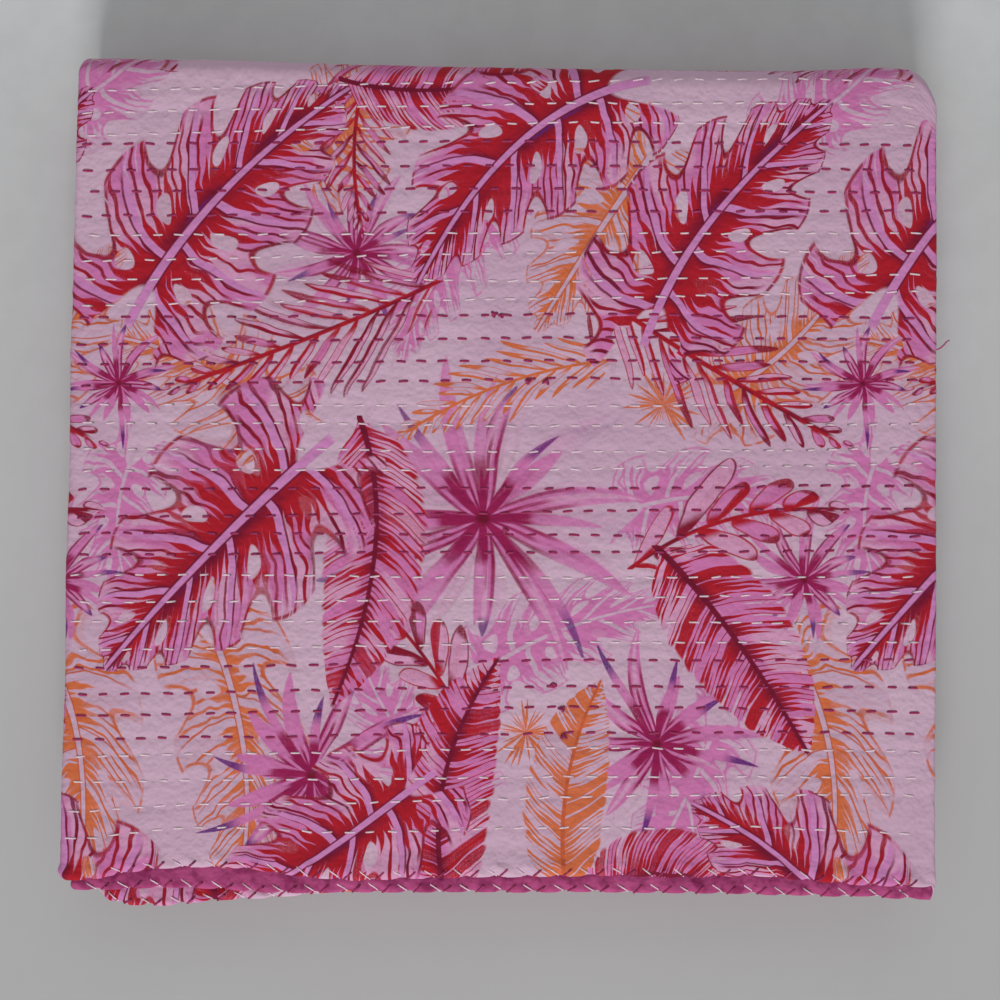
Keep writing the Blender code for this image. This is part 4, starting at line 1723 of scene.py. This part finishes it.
@dataclass
class Cloth:
    """The quilt's sheet, cut where it is out of sight so that what shows can be fine."""

    folds: FoldMap
    relief: Relief
    layout: PrintLayout
    top_across: float = 0.0040  # the greatest widths of a face, in metres
    top_along: float = 0.0020
    under_pitch: float = 0.0028
    side_pitch: float = 0.0070
    third_pitch: float = 0.0094
    first_pitch: float = 0.0180
    hidden_pitch: float = 0.0250
    tight_fold: float = 0.0008
    inner_fold: float = 0.0013
    outer_fold: float = 0.0015
    cross_fold: float = 0.0014
    rough_fold: float = 0.0020
    near_fold: float = 0.0025
    near_hidden: float = 0.0040
    near_cut: float = 0.0050
    hem_marks: tuple[float, ...] = (0.0, 0.0002, 0.0006, 0.0012, 0.0020, 0.0035)
    front_hem: float = 0.005
    other_hem: float = 0.006
    front_strip: float = 0.030
    top_margin: float = 0.010
    lower_margin: float = 0.012
    hidden_turn: float = 0.015
    gap: float = 0.00002
    sharp: float = 65.0

    def hem_lines(self, hem: float, inwards: int, reach: float) -> list[tuple[float, float]]:
        """Return the runs that round a hem off, without a line inside any of them."""
        places = [hem + inwards * mark for mark in (*self.hem_marks, reach)][::inwards]
        return [(place, math.inf) for place in places[1:]]

    def cuts(self) -> list[ClothCut]:
        """Lay out the pieces of the sheet.

        Returns:
            The four pieces, from the lowest up.
        """
        folds, k = self.folds, self.folds.s_knots
        arc = math.pi * folds.sizes.cross_radius
        back = folds.runs[0][2] - folds.runs[0][1]
        t_cut = back + arc + self.hidden_turn
        right_cut, left_cut = k[3] - self.hidden_turn, k[6] + self.hidden_turn
        near, beside = self.top_margin, self.lower_margin
        front = self.hem_lines(0.0, 1, self.front_hem)
        first = self.hem_lines(0.0, 1, self.other_hem)
        last = self.hem_lines(folds.width, -1, self.other_hem)
        last_t = self.hem_lines(folds.length, -1, self.other_hem)
        top_t = spans(0.0, *front, (back, self.top_along), (back + arc, self.cross_fold),
                      (t_cut, self.near_cut))
        rough_t = spans(0.0, *front, (self.front_strip, self.near_fold), (back, self.hidden_pitch),
                        (back + arc, self.rough_fold), (t_cut, self.near_cut))
        lower_t = [(folds.runs[2][0] - arc, self.hidden_pitch)]
        for begin, run_start, run_end, _ in folds.runs[2:4]:
            run = abs(run_end - run_start)
            lower_t += [(begin, self.cross_fold), (begin + run, self.hidden_pitch)]
        lower_t += [(folds.runs[4][0], self.cross_fold)]
        lower_t += [(folds.length - self.other_hem, self.side_pitch), *last_t]
        top_s = spans(
            right_cut, (k[3], self.near_hidden), (k[4], self.tight_fold),
            (k[4] + near, self.near_fold), (k[5] - near, self.top_across), (k[5], self.near_fold),
            (k[6], self.outer_fold), (left_cut, self.near_hidden),
        )
        under_s = spans(0.0, *first, (k[1], self.under_pitch), (k[2], self.tight_fold),
                        (right_cut - self.gap, self.under_pitch))
        fourth_s = spans(left_cut + self.gap, (folds.width - self.other_hem, self.under_pitch), *last)
        lower_s = spans(
            0.0, *first, (k[1], self.first_pitch), (k[2], self.inner_fold),
            (k[3] - beside, self.first_pitch), (k[3], self.near_hidden), (k[4], self.tight_fold),
            (k[4] + beside, self.near_hidden), (k[5] - beside, self.third_pitch),
            (k[5], self.near_hidden), (k[6], self.outer_fold), (k[6] + beside, self.near_hidden),
            (folds.width - self.other_hem, self.side_pitch), *last,
        )
        return [
            ClothCut("quilt_lower", lower_s, spans(t_cut + self.gap, *lower_t)),
            ClothCut("quilt_fourth_ply", fourth_s, rough_t, ("quilt_lower",)),
            ClothCut("quilt_under_plies", under_s, rough_t, ("quilt_lower",)),
            ClothCut("quilt_top_ply", top_s, top_t, ("quilt_under_plies",)),
        ]

    def mesh(self, cut: ClothCut) -> Mesh:
        """Return a piece's closed mesh with its print.

        Args:
            cut: The piece.

        Returns:
            The mesh, with its weave and print attributes.
        """
        columns, rows = len(cut.s_lines) - 1, len(cut.t_lines) - 1
        bm = bmesh.new()
        bmesh.ops.create_grid(bm, x_segments=columns, y_segments=rows, size=1.0)
        raised = bmesh.ops.extrude_face_region(bm, geom=bm.faces[:], use_keep_orig=True)
        printed = [item for item in raised["geom"] if isinstance(item, bmesh.types.BMVert)]
        bmesh.ops.translate(bm, vec=(0.0, 0.0, 1.0), verts=printed)
        bmesh.ops.recalc_face_normals(bm, faces=bm.faces[:])
        mesh = bpy.data.meshes.new(cut.name)
        bm.to_mesh(mesh)
        bm.free()
        grid = places_of(mesh)
        s = cut.s_lines[np.rint((grid[:, 0] + 1.0) / 2.0 * columns).astype(int)]
        t = cut.t_lines[np.rint((grid[:, 1] + 1.0) / 2.0 * rows).astype(int)]
        side = np.where(grid[:, 2] > 0.5, 1.0, -1.0)
        points = self.relief.faces(s, t, side)
        mesh.vertices.foreach_set("co", points.astype(np.float32).ravel())
        if signed_volume(points, corners_of(mesh)) < 0.0:
            mesh.flip_normals()
        shows_print = (side[corners_of(mesh)] > 0.0).any(axis=1)
        mesh.polygons.foreach_set("material_index", np.where(shows_print, 0, 1).astype(np.int32))
        weave = mesh.attributes.new("weave", "FLOAT_VECTOR", "POINT")
        flat = np.stack([s, t, side * 0.01], axis=1)
        weave.data.foreach_set("vector", flat.astype(np.float32).ravel())
        a, b = self.folds.print_place(s, t)
        self.layout.print_on(mesh, a, b, shows_print)
        mesh.shade_smooth()
        mesh.set_sharp_from_angle(angle=math.radians(self.sharp))
        mesh.update()
        return mesh

    def build(self, finishes: Sequence[Material]) -> list[tuple]:
        """Build and dress every piece of the sheet, and return each with its cut.

        Args:
            finishes: The printed face's material and the reverse's.

        Returns:
            Each object with its cut.
        """
        made = []
        for cut in self.cuts():
            mesh = self.mesh(cut)
            for finish in finishes:
                mesh.materials.append(finish)
            piece = stand(cut.name, mesh)
            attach(piece, BODY)
            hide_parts(NODE)
            LOG.info("%s: %d faces, flat %.3f x %.3f m", cut.name, len(mesh.polygons), *cut.flat)
            made.append((piece, cut))
        return made


def signed_volume(points: Array, faces: Array) -> float:
    """Return a closed mesh's volume, below zero where its faces point inwards.

    Args:
        points: Each vertex's place.
        faces: Each face's four vertices.

    Returns:
        The volume in cubic metres.
    """
    a, b, c, d = (points[faces[:, index]] for index in range(4))
    half = np.einsum("ij,ij->i", a, np.cross(b, c)) + np.einsum("ij,ij->i", a, np.cross(c, d))
    return float(half.sum() / 6.0)


# ---- Sewing ----

RINGS = 5
RING_SIDES = 5
RING_SHARES = np.array([-0.50, -0.33, 0.0, 0.33, 0.50])
RING_HEIGHTS = np.array([-0.60, 0.02, 0.16, 0.02, -0.60]) * MM
RING_SWELL = np.array([0.6, 1.0, 1.05, 1.0, 0.6])
TUBES_APART = 4.0
FLATNESS = 0.44
HEM_THREAD = 0.80
KNOT_THREAD = 1.1
LOOSE_THREAD = 0.85

# An overcast stitch's five points: how far along its slant and how far in they lie, on which
# face of the cloth, and how far out of that face.
OVERCAST_ALONG = np.array([0.0, 0.28, 0.74, 1.0, 0.95])
OVERCAST_INWARD = np.array([1.0, 0.74, 0.24, -0.09, 0.15])
OVERCAST_FACE = np.array([1.0, 1.0, 1.0, 0.0, -1.0])
OVERCAST_HEIGHT = np.array([-0.40, 0.40, 0.50, 0.0, -0.30]) * MM

TOP_ROW_WAVES = Waves(0.05, 1.0, 31.0)
FLAT_ROW_WAVES = Waves(0.05, 1.0, 41.0)
HEM_JITTER_WAVES = Waves(0.013, 1.0, 51.0)

# The knots' places on the top ply, in millimetres.
KNOTS = (
    (-2, 368), (-7, 369), (16, 323), (28, 323), (2, 252), (2, 224), (35, 123), (41, 107), (42, 89),
)
LOOSE_END_T = 0.345
# The loose end's five points from where it leaves the cloth, in millimetres.
LOOSE_END = ((-1.0, -0.3, 0.0), (2.2, 0.8, 0.6), (4.6, 2.7, 0.9), (6.8, 5.3, 0.7), (9.0, 6.5, 0.2))


class Hem(Enum):
    """The edge of the sheet that a hem runs along."""

    FRONT = "front"
    BACK = "back"
    FIRST_SIDE = "first_side"
    LAST_SIDE = "last_side"


def varied(count: int, pace: float, lane: float, seed: float) -> Array:
    """Return a number from -1 to 1 for each stitch of a row, unlike its neighbours'."""
    index = np.arange(count, dtype=float)
    return value_noise(index * pace, index * 0.0 + lane, seed)


@dataclass
class Sewing:
    """All stitches of one thread, as paths of five points each."""

    name: str
    radius: float
    paths: list[Array] = field(default_factory=list)
    thickness: list[Array] = field(default_factory=list)

    def add(self, paths: Array, swell: float = 1.0) -> None:
        """Add stitches, an array of (stitch, five points, three coordinates)."""
        self.paths.append(paths)
        self.thickness.append(np.full(len(paths), self.radius * swell))

    def template(self, count: int) -> Mesh:
        """Return one small tube repeated count times by an array.

        Args:
            count: The number of stitches.

        Returns:
            The mesh, with its tubes side by side.
        """
        bm = bmesh.new()
        made = bmesh.ops.create_circle(bm, cap_ends=True, segments=RING_SIDES, radius=1.0)
        face = made["verts"][0].link_faces[0]
        for ring in range(RINGS - 1):
            grown = bmesh.ops.extrude_face_region(bm, geom=[face], use_keep_orig=ring == 0)
            verts = [item for item in grown["geom"] if isinstance(item, bmesh.types.BMVert)]
            bmesh.ops.translate(bm, vec=(0.0, 0.0, 1.0), verts=verts)
            face = [item for item in grown["geom"] if isinstance(item, bmesh.types.BMFace)][0]
        bmesh.ops.recalc_face_normals(bm, faces=bm.faces[:])
        mesh = bpy.data.meshes.new(self.name + "_tube")
        bm.to_mesh(mesh)
        bm.free()
        maker = stand(self.name + "_maker", mesh)
        repeat = maker.modifiers.new("repeat", "ARRAY")
        repeat.use_relative_offset = False
        repeat.use_constant_offset = True
        repeat.constant_offset_displace = (TUBES_APART, 0.0, 0.0)
        repeat.count = count
        graph = bpy.context.evaluated_depsgraph_get()
        whole = bpy.data.meshes.new_from_object(maker.evaluated_get(graph))
        bpy.data.objects.remove(maker)
        bpy.data.meshes.remove(mesh)
        return whole

    def build(self, finish: Material) -> bpy.types.Object:
        """Return the stitches as one joined mesh.

        Args:
            finish: The thread's material.

        Returns:
            The object.
        """
        paths = np.concatenate(self.paths)
        thickness = np.concatenate(self.thickness)
        # The weight of the stack presses the underside's stitches level with the cloth.
        paths[:, :, 2] = np.maximum(paths[:, :, 2], thickness[:, None] * FLATNESS + ON_FLOOR)
        count = len(paths)
        mesh = self.template(count)
        mesh.name = self.name
        local = places_of(mesh).reshape(count, -1, 3)
        local[:, :, 0] -= TUBES_APART * np.arange(count)[:, None]
        ring = np.clip(np.rint(local[:, :, 2]).astype(int), 0, RINGS - 1)
        heading = np.gradient(paths, axis=1)
        heading /= np.linalg.norm(heading, axis=2, keepdims=True)
        chord = paths[:, -1] - paths[:, 0]
        middle = paths[:, 2] - (paths[:, 0] + paths[:, -1]) / 2
        across = np.cross(chord, middle + np.array([0.0, 0.0, 1e-7]))
        across /= np.linalg.norm(across, axis=1, keepdims=True)
        up = np.cross(across[:, None, :], heading)
        up /= np.linalg.norm(up, axis=2, keepdims=True)
        row = np.arange(count)[:, None]
        girth = thickness[:, None, None] * RING_SWELL[ring][:, :, None]
        points = (
            paths[row, ring]
            + across[:, None, :] * local[:, :, 0:1] * girth
            + up[row, ring] * local[:, :, 1:2] * girth * FLATNESS
        )
        mesh.vertices.foreach_set("co", points.astype(np.float32).ravel())
        mesh.shade_smooth()
        mesh.update()
        bm = bmesh.new()
        bm.from_mesh(mesh)
        bmesh.ops.recalc_face_normals(bm, faces=bm.faces[:])
        bm.to_mesh(mesh)
        bm.free()
        mesh.materials.append(finish)
        piece = stand(self.name, mesh)
        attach(piece, BODY)
        LOG.info("%s: %d stitches", self.name, count)
        return piece


@dataclass
class Stitching:
    """Running stitch in rows, overcast hems, fastening knots and a loose end, sized in metres."""

    folds: FoldMap
    relief: Relief
    cream: Sewing = field(default_factory=lambda: Sewing("stitches_cream", 0.00060))
    maroon: Sewing = field(default_factory=lambda: Sewing("stitches_maroon", 0.00082))
    pitch: float = 0.0140
    length: float = 0.0080
    jitter: float = 0.0011
    stretch: float = 0.16
    wander: float = 0.0006
    tilt: float = 0.0012
    place_pace: float = 1.7  # how fast the stitches' irregularities change along a row
    length_pace: float = 2.3
    tilt_pace: float = 1.3
    maroon_share: float = 0.96
    left_over: float = 0.002  # how far the top rows run on round the left fold
    right_over: float = 0.001
    top_stand: float = 0.12  # how far out a top row's stitches lie, in thread radii
    flat_stand: float = 0.0001  # how far out the others lie, in metres
    fold_stand: float = 0.0002
    row_inset: float = 0.004
    fold_inset: float = 0.002
    fourth_inset: float = 0.003
    fold_turns: tuple[float, ...] = (0.75, 1.95)
    top_fold_turns: tuple[float, ...] = (2.35,)
    underside_from: float = 0.012
    underside_to: float = 0.020
    underside_sink: float = 0.00075
    side_fold_from: float = 0.008
    longest_hem: float = 0.552
    hem_end: float = 0.002
    hem_jitter: float = 0.0012
    depth_jitter: float = 0.12
    lower_inner: float = 0.0064
    side_inner: float = 0.005
    side_end: float = 0.012
    cross_shift: float = 0.45
    cross_slant: float = 0.80
    cross_inner: float = 0.85
    knot_turns: int = 3
    knot_turn: float = 2.4      # radians
    knot_reach: float = 0.0016
    knot_stray: float = 0.0010
    knot_step: float = 0.0006
    knot_flat: float = 0.9
    knot_stand: float = 0.0003

    def thread_of(self, row: int) -> Sewing:
        """Return the thread of a row, which changes after every few rows."""
        return self.maroon if (row // ROWS_OF_ONE_THREAD) % 2 else self.cream

    def along(self, start: float, end: float, seed: float) -> tuple[Array, Array]:
        """Return the middles and lengths of a row's stitches between two places.

        Args:
            start: Where the row starts.
            end: Where it ends.
            seed: Picks its irregularities.

        Returns:
            Both, one number for each stitch.
        """
        count = int((end - start) / self.pitch)
        first = start + self.pitch * (0.3 + 0.5 * hashed(seed, 3.0))
        shifts = self.jitter * varied(count, self.place_pace, 0.3, seed)
        stretches = self.stretch * varied(count, self.length_pace, 5.3, seed + 9.0)
        return first + np.arange(count) * self.pitch + shifts, self.length * (1.0 + stretches)

    def top_rows(self) -> None:
        """Sew the rows that show on the top ply."""
        folds, z = self.folds, self.folds.sizes
        for index, row in enumerate(STITCH_ROWS):
            thread = self.thread_of(index)
            span = z.outer_x - self.left_over, z.right_x + self.right_over
            middles, lengths = self.along(*span, index + 1.0)
            lengths = lengths * (self.maroon_share if thread is self.maroon else 1.0)
            x = middles[:, None] + RING_SHARES * lengths[:, None]
            tilt = varied(len(middles), self.tilt_pace, index, 33.0) * self.tilt
            tilt = tilt[:, None] * RING_SHARES
            t = folds.row_t(row, x) + TOP_ROW_WAVES.line(x, index * 3.1) * self.wander + tilt
            s = folds.top_s(x)
            # A stitch lies straight between its two holes, however the cloth ripples under it.
            base = self.relief.swell(s, t) + self.relief.lift(s, t)
            base = np.maximum(base, base.mean(axis=1, keepdims=True))
            stand_out = RING_HEIGHTS + thread.radius * self.top_stand
            thread.add(folds.place(s, t, z.half_ply + base + stand_out))

    def flat_rows(self, s_start: float, s_end: float, rows: Iterable[tuple[int, float]],
                  sink: float = 0.0) -> None:
        """Sew rows along s on the printed face.

        Args:
            s_start: Where the rows start.
            s_end: Where they end.
            rows: Each row's number and its t.
            sink: How far the stitches are pressed into the cloth.
        """
        height = self.folds.sizes.half_ply - sink + self.flat_stand + RING_HEIGHTS
        for index, t_row in rows:
            middles, lengths = self.along(s_start, s_end, index + 50.0 * t_row)
            s = middles[:, None] + RING_SHARES * lengths[:, None]
            t = t_row + FLAT_ROW_WAVES.line(s, index) * self.wander
            self.thread_of(index).add(self.folds.place(s, t, height))

    def underside_rows(self) -> None:
        """Sew the rows on the underside."""
        folds, pitch = self.folds, self.folds.sizes.row_pitch
        begin = folds.runs[4][0]
        count = int((folds.length - begin - self.underside_to) / pitch)
        rows = [(index, begin + self.underside_from + index * pitch) for index in range(count)]
        span = folds.s_knots[6] + self.row_inset, folds.width - self.row_inset
        self.flat_rows(*span, rows, sink=self.underside_sink)

    def cross_fold_rows(self) -> None:
        """Sew the rows that show on the crosswise folds."""
        folds, z, knots = self.folds, self.folds.sizes, self.folds.s_knots
        for packet in range(z.packets - 1):
            begin = folds.runs[packet + 1][0] - math.pi * z.cross_radius
            span = (knots[4] + self.fold_inset, knots[5] - self.fold_inset)
            if packet % 2:
                span = (knots[6] + self.fourth_inset, folds.width - self.row_inset)
            turns = self.fold_turns if packet else self.top_fold_turns
            self.flat_rows(*span, [
                (packet * 3 + step, begin + turn * z.cross_radius) for step, turn in enumerate(turns)
            ])

    def side_fold_rows(self) -> None:
        """Sew the stitches that show where the rows of the lower packets turn at the side folds."""
        folds, z, knots = self.folds, self.folds.sizes, self.folds.s_knots
        height = z.half_ply + self.fold_stand + RING_HEIGHTS
        for middle in ((knots[5] + knots[6]) / 2, (knots[3] + knots[4]) / 2):
            for begin, first, end, _ in folds.runs[1:]:
                index = np.arange(int(abs(end - first) / z.row_pitch))
                t_rows = begin + self.side_fold_from + index * z.row_pitch
                paths = folds.place(*np.meshgrid(middle + RING_SHARES * self.length, t_rows), height)
                is_maroon = (index // ROWS_OF_ONE_THREAD) % 2 == 1
                self.cream.add(paths[~is_maroon])
                self.maroon.add(paths[is_maroon])

    def hem(self, along: Array, upper: float, kind: Hem, slant: float, inner: float,
            thread: Sewing, top: bool = False) -> None:
        """Overcast a hem.

        Args:
            along: Where each stitch starts along the hem.
            upper: +1 where the printed face shows, -1 where the reverse does.
            kind: The edge that it goes round.
            slant: How far along the hem a stitch runs before it goes round the edge.
            inner: How far in the stitches start.
            thread: The thread.
            top: Whether the cloth has the top ply's relief.
        """
        folds = self.folds
        jitter = HEM_JITTER_WAVES.line(along, upper)[:, None]
        run = along[:, None] + OVERCAST_ALONG * slant + jitter * self.hem_jitter
        depth = OVERCAST_INWARD * inner * (1.0 + self.depth_jitter * jitter)
        height = upper * (OVERCAST_FACE * folds.sizes.half_ply + OVERCAST_HEIGHT)
        s, t = {
            Hem.FRONT: (run, depth),
            Hem.BACK: (run, folds.length - depth),
            Hem.FIRST_SIDE: (depth, run),
            Hem.LAST_SIDE: (folds.width - depth, run),
        }[kind]
        inside, push = np.maximum(t, 0.0), 0.0
        if kind is Hem.FRONT:
            push = self.relief.hem_push(s, inside)
            puff = np.maximum(self.relief.hem_swell(s, inside), OVERCAST_HEIGHT[0])
            height = height + puff * np.sign(height)
        if top:
            swell = np.maximum(self.relief.swell(s, inside), 0.0) * (height > 0.0)
            height = height + self.relief.lift(s, inside) + swell
        thread.add(folds.place(s, t, height, push), HEM_THREAD)

    def hems(self) -> None:
        """Overcast the front hems, the back ones and the side ones."""
        folds, knots, relief = self.folds, self.folds.s_knots, self.relief
        pitch, slant = relief.hem_pitch, relief.hem_slant
        for index, ply in enumerate(folds.plies):
            start, end = knots[2 * index], knots[2 * index + 1]
            places = start + relief.hem_start + np.arange(0.0, self.longest_hem, pitch)
            ends = places + ply.heading * slant
            fits = (ends > start + self.hem_end) & (np.maximum(places, ends) < end - self.hem_end)
            places = places[fits]
            top, upper = index == 2, -1.0 if index % 2 else 1.0
            inner = relief.hem_inner if top else self.lower_inner
            self.hem(places, upper, Hem.FRONT, ply.heading * slant, inner, self.cream, top)
            crossing = places + ply.heading * (slant + self.cross_shift * pitch)
            crossing = crossing[(crossing > start + slant) & (crossing < end - slant)]
            lean = -ply.heading * slant * self.cross_slant
            self.hem(crossing, upper, Hem.FRONT, lean, inner * self.cross_inner, self.maroon, top)
            self.hem(places, upper, Hem.BACK, ply.heading * slant, relief.hem_inner, self.cream)
        for kind in (Hem.FIRST_SIDE, Hem.LAST_SIDE):
            for begin, first, end, _ in folds.runs:
                run = np.arange(0.0, abs(end - first) - 2.0 * self.side_end, pitch)
                self.hem(begin + self.side_end + run, 1.0, kind, slant, self.side_inner, self.cream)

    def knot(self, x: float, y: float) -> None:
        """Tie off a thread in a small knot at a place on the top ply, in millimetres.

        Args:
            x: To the right of the packet's middle.
            y: Above the front hem.
        """
        seed = x * 0.37 + y
        for turn in range(self.knot_turns):
            angle = self.knot_turn * turn + seed
            along = RING_SHARES * 2.0 * (self.knot_reach + self.knot_stray * hashed(seed, turn))
            s = self.folds.top_s(x * MM + along * math.cos(angle) + self.knot_step * turn)
            t = y * MM + along * math.sin(angle)
            base = (self.relief.swell(s, t) + self.relief.lift(s, t)).max()
            height = self.folds.sizes.half_ply + base + RING_HEIGHTS * self.knot_flat
            path = self.folds.place(s, t, height + self.knot_stand)
            self.maroon.add(path[None, :, :], KNOT_THREAD)

    def loose_end(self) -> None:
        """Leave a thread's cut end standing out from the right side fold."""
        folds, knots = self.folds, self.folds.s_knots
        fold_s = np.array([(knots[3] + knots[4]) / 2])
        root = folds.place(fold_s, np.array([LOOSE_END_T]), np.array([folds.sizes.half_ply]))
        self.maroon.add((root + np.array(LOOSE_END) * MM)[None, :, :], LOOSE_THREAD)

    def build(self, cream: Material, maroon: Material) -> list[bpy.types.Object]:
        """Sew everything and return the two threads' pieces.

        Args:
            cream: The cream thread's material.
            maroon: The maroon thread's.

        Returns:
            The two objects.
        """
        self.top_rows()
        self.underside_rows()
        self.cross_fold_rows()
        self.side_fold_rows()
        self.hems()
        for x, y in KNOTS:
            self.knot(x, y)
        self.loose_end()
        return [self.cream.build(cream), self.maroon.build(maroon)]


# ---- Stage ----

class Lamp(NamedTuple):
    """A square soft light."""

    name: str
    place: Point
    size: float       # the length of its side, in metres
    power: float      # in watts
    spread: float     # how wide its beam opens, in degrees


@dataclass
class Studio:
    """The pale floor, the soft light and the camera."""

    floor_size: float = 9.0
    lens: float = 70.9
    sensor: float = 36.0
    elevation: float = 87.2
    distance: float = 1.30
    aim: Point = (-0.0013, -0.0176, 0.065)
    lamps: tuple[Lamp, ...] = (
        Lamp("key", (-0.2, -3.9, 2.7), 1.5, 12.6, 50.0),
        Lamp("back", (0.3, 2.6, 2.6), 2.2, 9.0, 180.0),
    )
    lamps_aim: Point = (0.0, 0.5, 0.0)
    air_colour: tuple[float, float, float, float] = (0.98, 1.0, 1.0, 1.0)
    air_strength: float = 0.38

    def floor(self) -> None:
        """Lay the floor."""
        bm = bmesh.new()
        bmesh.ops.create_grid(bm, x_segments=4, y_segments=4, size=self.floor_size / 2)
        mesh = bpy.data.meshes.new("floor")
        bm.to_mesh(mesh)
        bm.free()
        mesh.materials.append(FloorFinish().build())
        floor = stand("floor", mesh)

    def light(self, lamp: Lamp) -> None:
        """Hang a lamp and turn it to the stage.

        Args:
            lamp: The lamp.
        """
        data = bpy.data.lights.new(lamp.name, "AREA")
        data.shape = "SQUARE"
        data.size = lamp.size
        data.energy = lamp.power
        data.spread = math.radians(lamp.spread)
        holder = stand(lamp.name, data)
        holder.location = lamp.place
        view = Vector(self.lamps_aim) - Vector(lamp.place)
        holder.rotation_euler = view.to_track_quat("-Z", "Y").to_euler()

    def camera(self) -> None:
        """Set the camera nearly straight above the quilt."""
        tilt = math.radians(self.elevation)
        aim = Vector(self.aim)
        eye = aim + self.distance * Vector((0.0, -math.cos(tilt), math.sin(tilt)))
        data = bpy.data.cameras.new("camera")
        data.lens = self.lens
        data.sensor_width = self.sensor
        camera = stand("camera", data)
        camera.location = eye
        camera.rotation_euler = (aim - eye).to_track_quat("-Z", "Y").to_euler()
        bpy.context.scene.camera = camera

    def build(self) -> None:
        """Set up the whole stage."""
        scene = bpy.context.scene
        scene.view_settings.view_transform = "Standard"
        world = scene.world or bpy.data.worlds.new("studio")
        scene.world = world
        world.use_nodes = True
        air = world.node_tree.nodes["Background"]
        air.inputs["Color"].default_value = self.air_colour
        air.inputs["Strength"].default_value = self.air_strength
        self.floor()
        for lamp in self.lamps:
            self.light(lamp)
        self.camera()
        LOG.info("stage set")


def main() -> None:
    """Build the quilt, sew it and set the stage."""
    logging.basicConfig(level=logging.INFO, format="%(name)s: %(message)s")
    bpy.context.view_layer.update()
    Studio().build()
    folds = FoldMap()
    relief = Relief(folds)
    finishes = [PrintFinish().build(), ReverseFinish().build()]
    cloth = Cloth(folds, relief, PrintLayout()).build(finishes)
    cream = ThreadFinish("cream_thread", COLOURS.cream, COLOURS.cream_shade).build()
    maroon = ThreadFinish("maroon_thread", COLOURS.maroon, COLOURS.maroon_shade).build()
    threads = Stitching(folds, relief).build(cream, maroon)


if __name__ == "__main__":
    main()
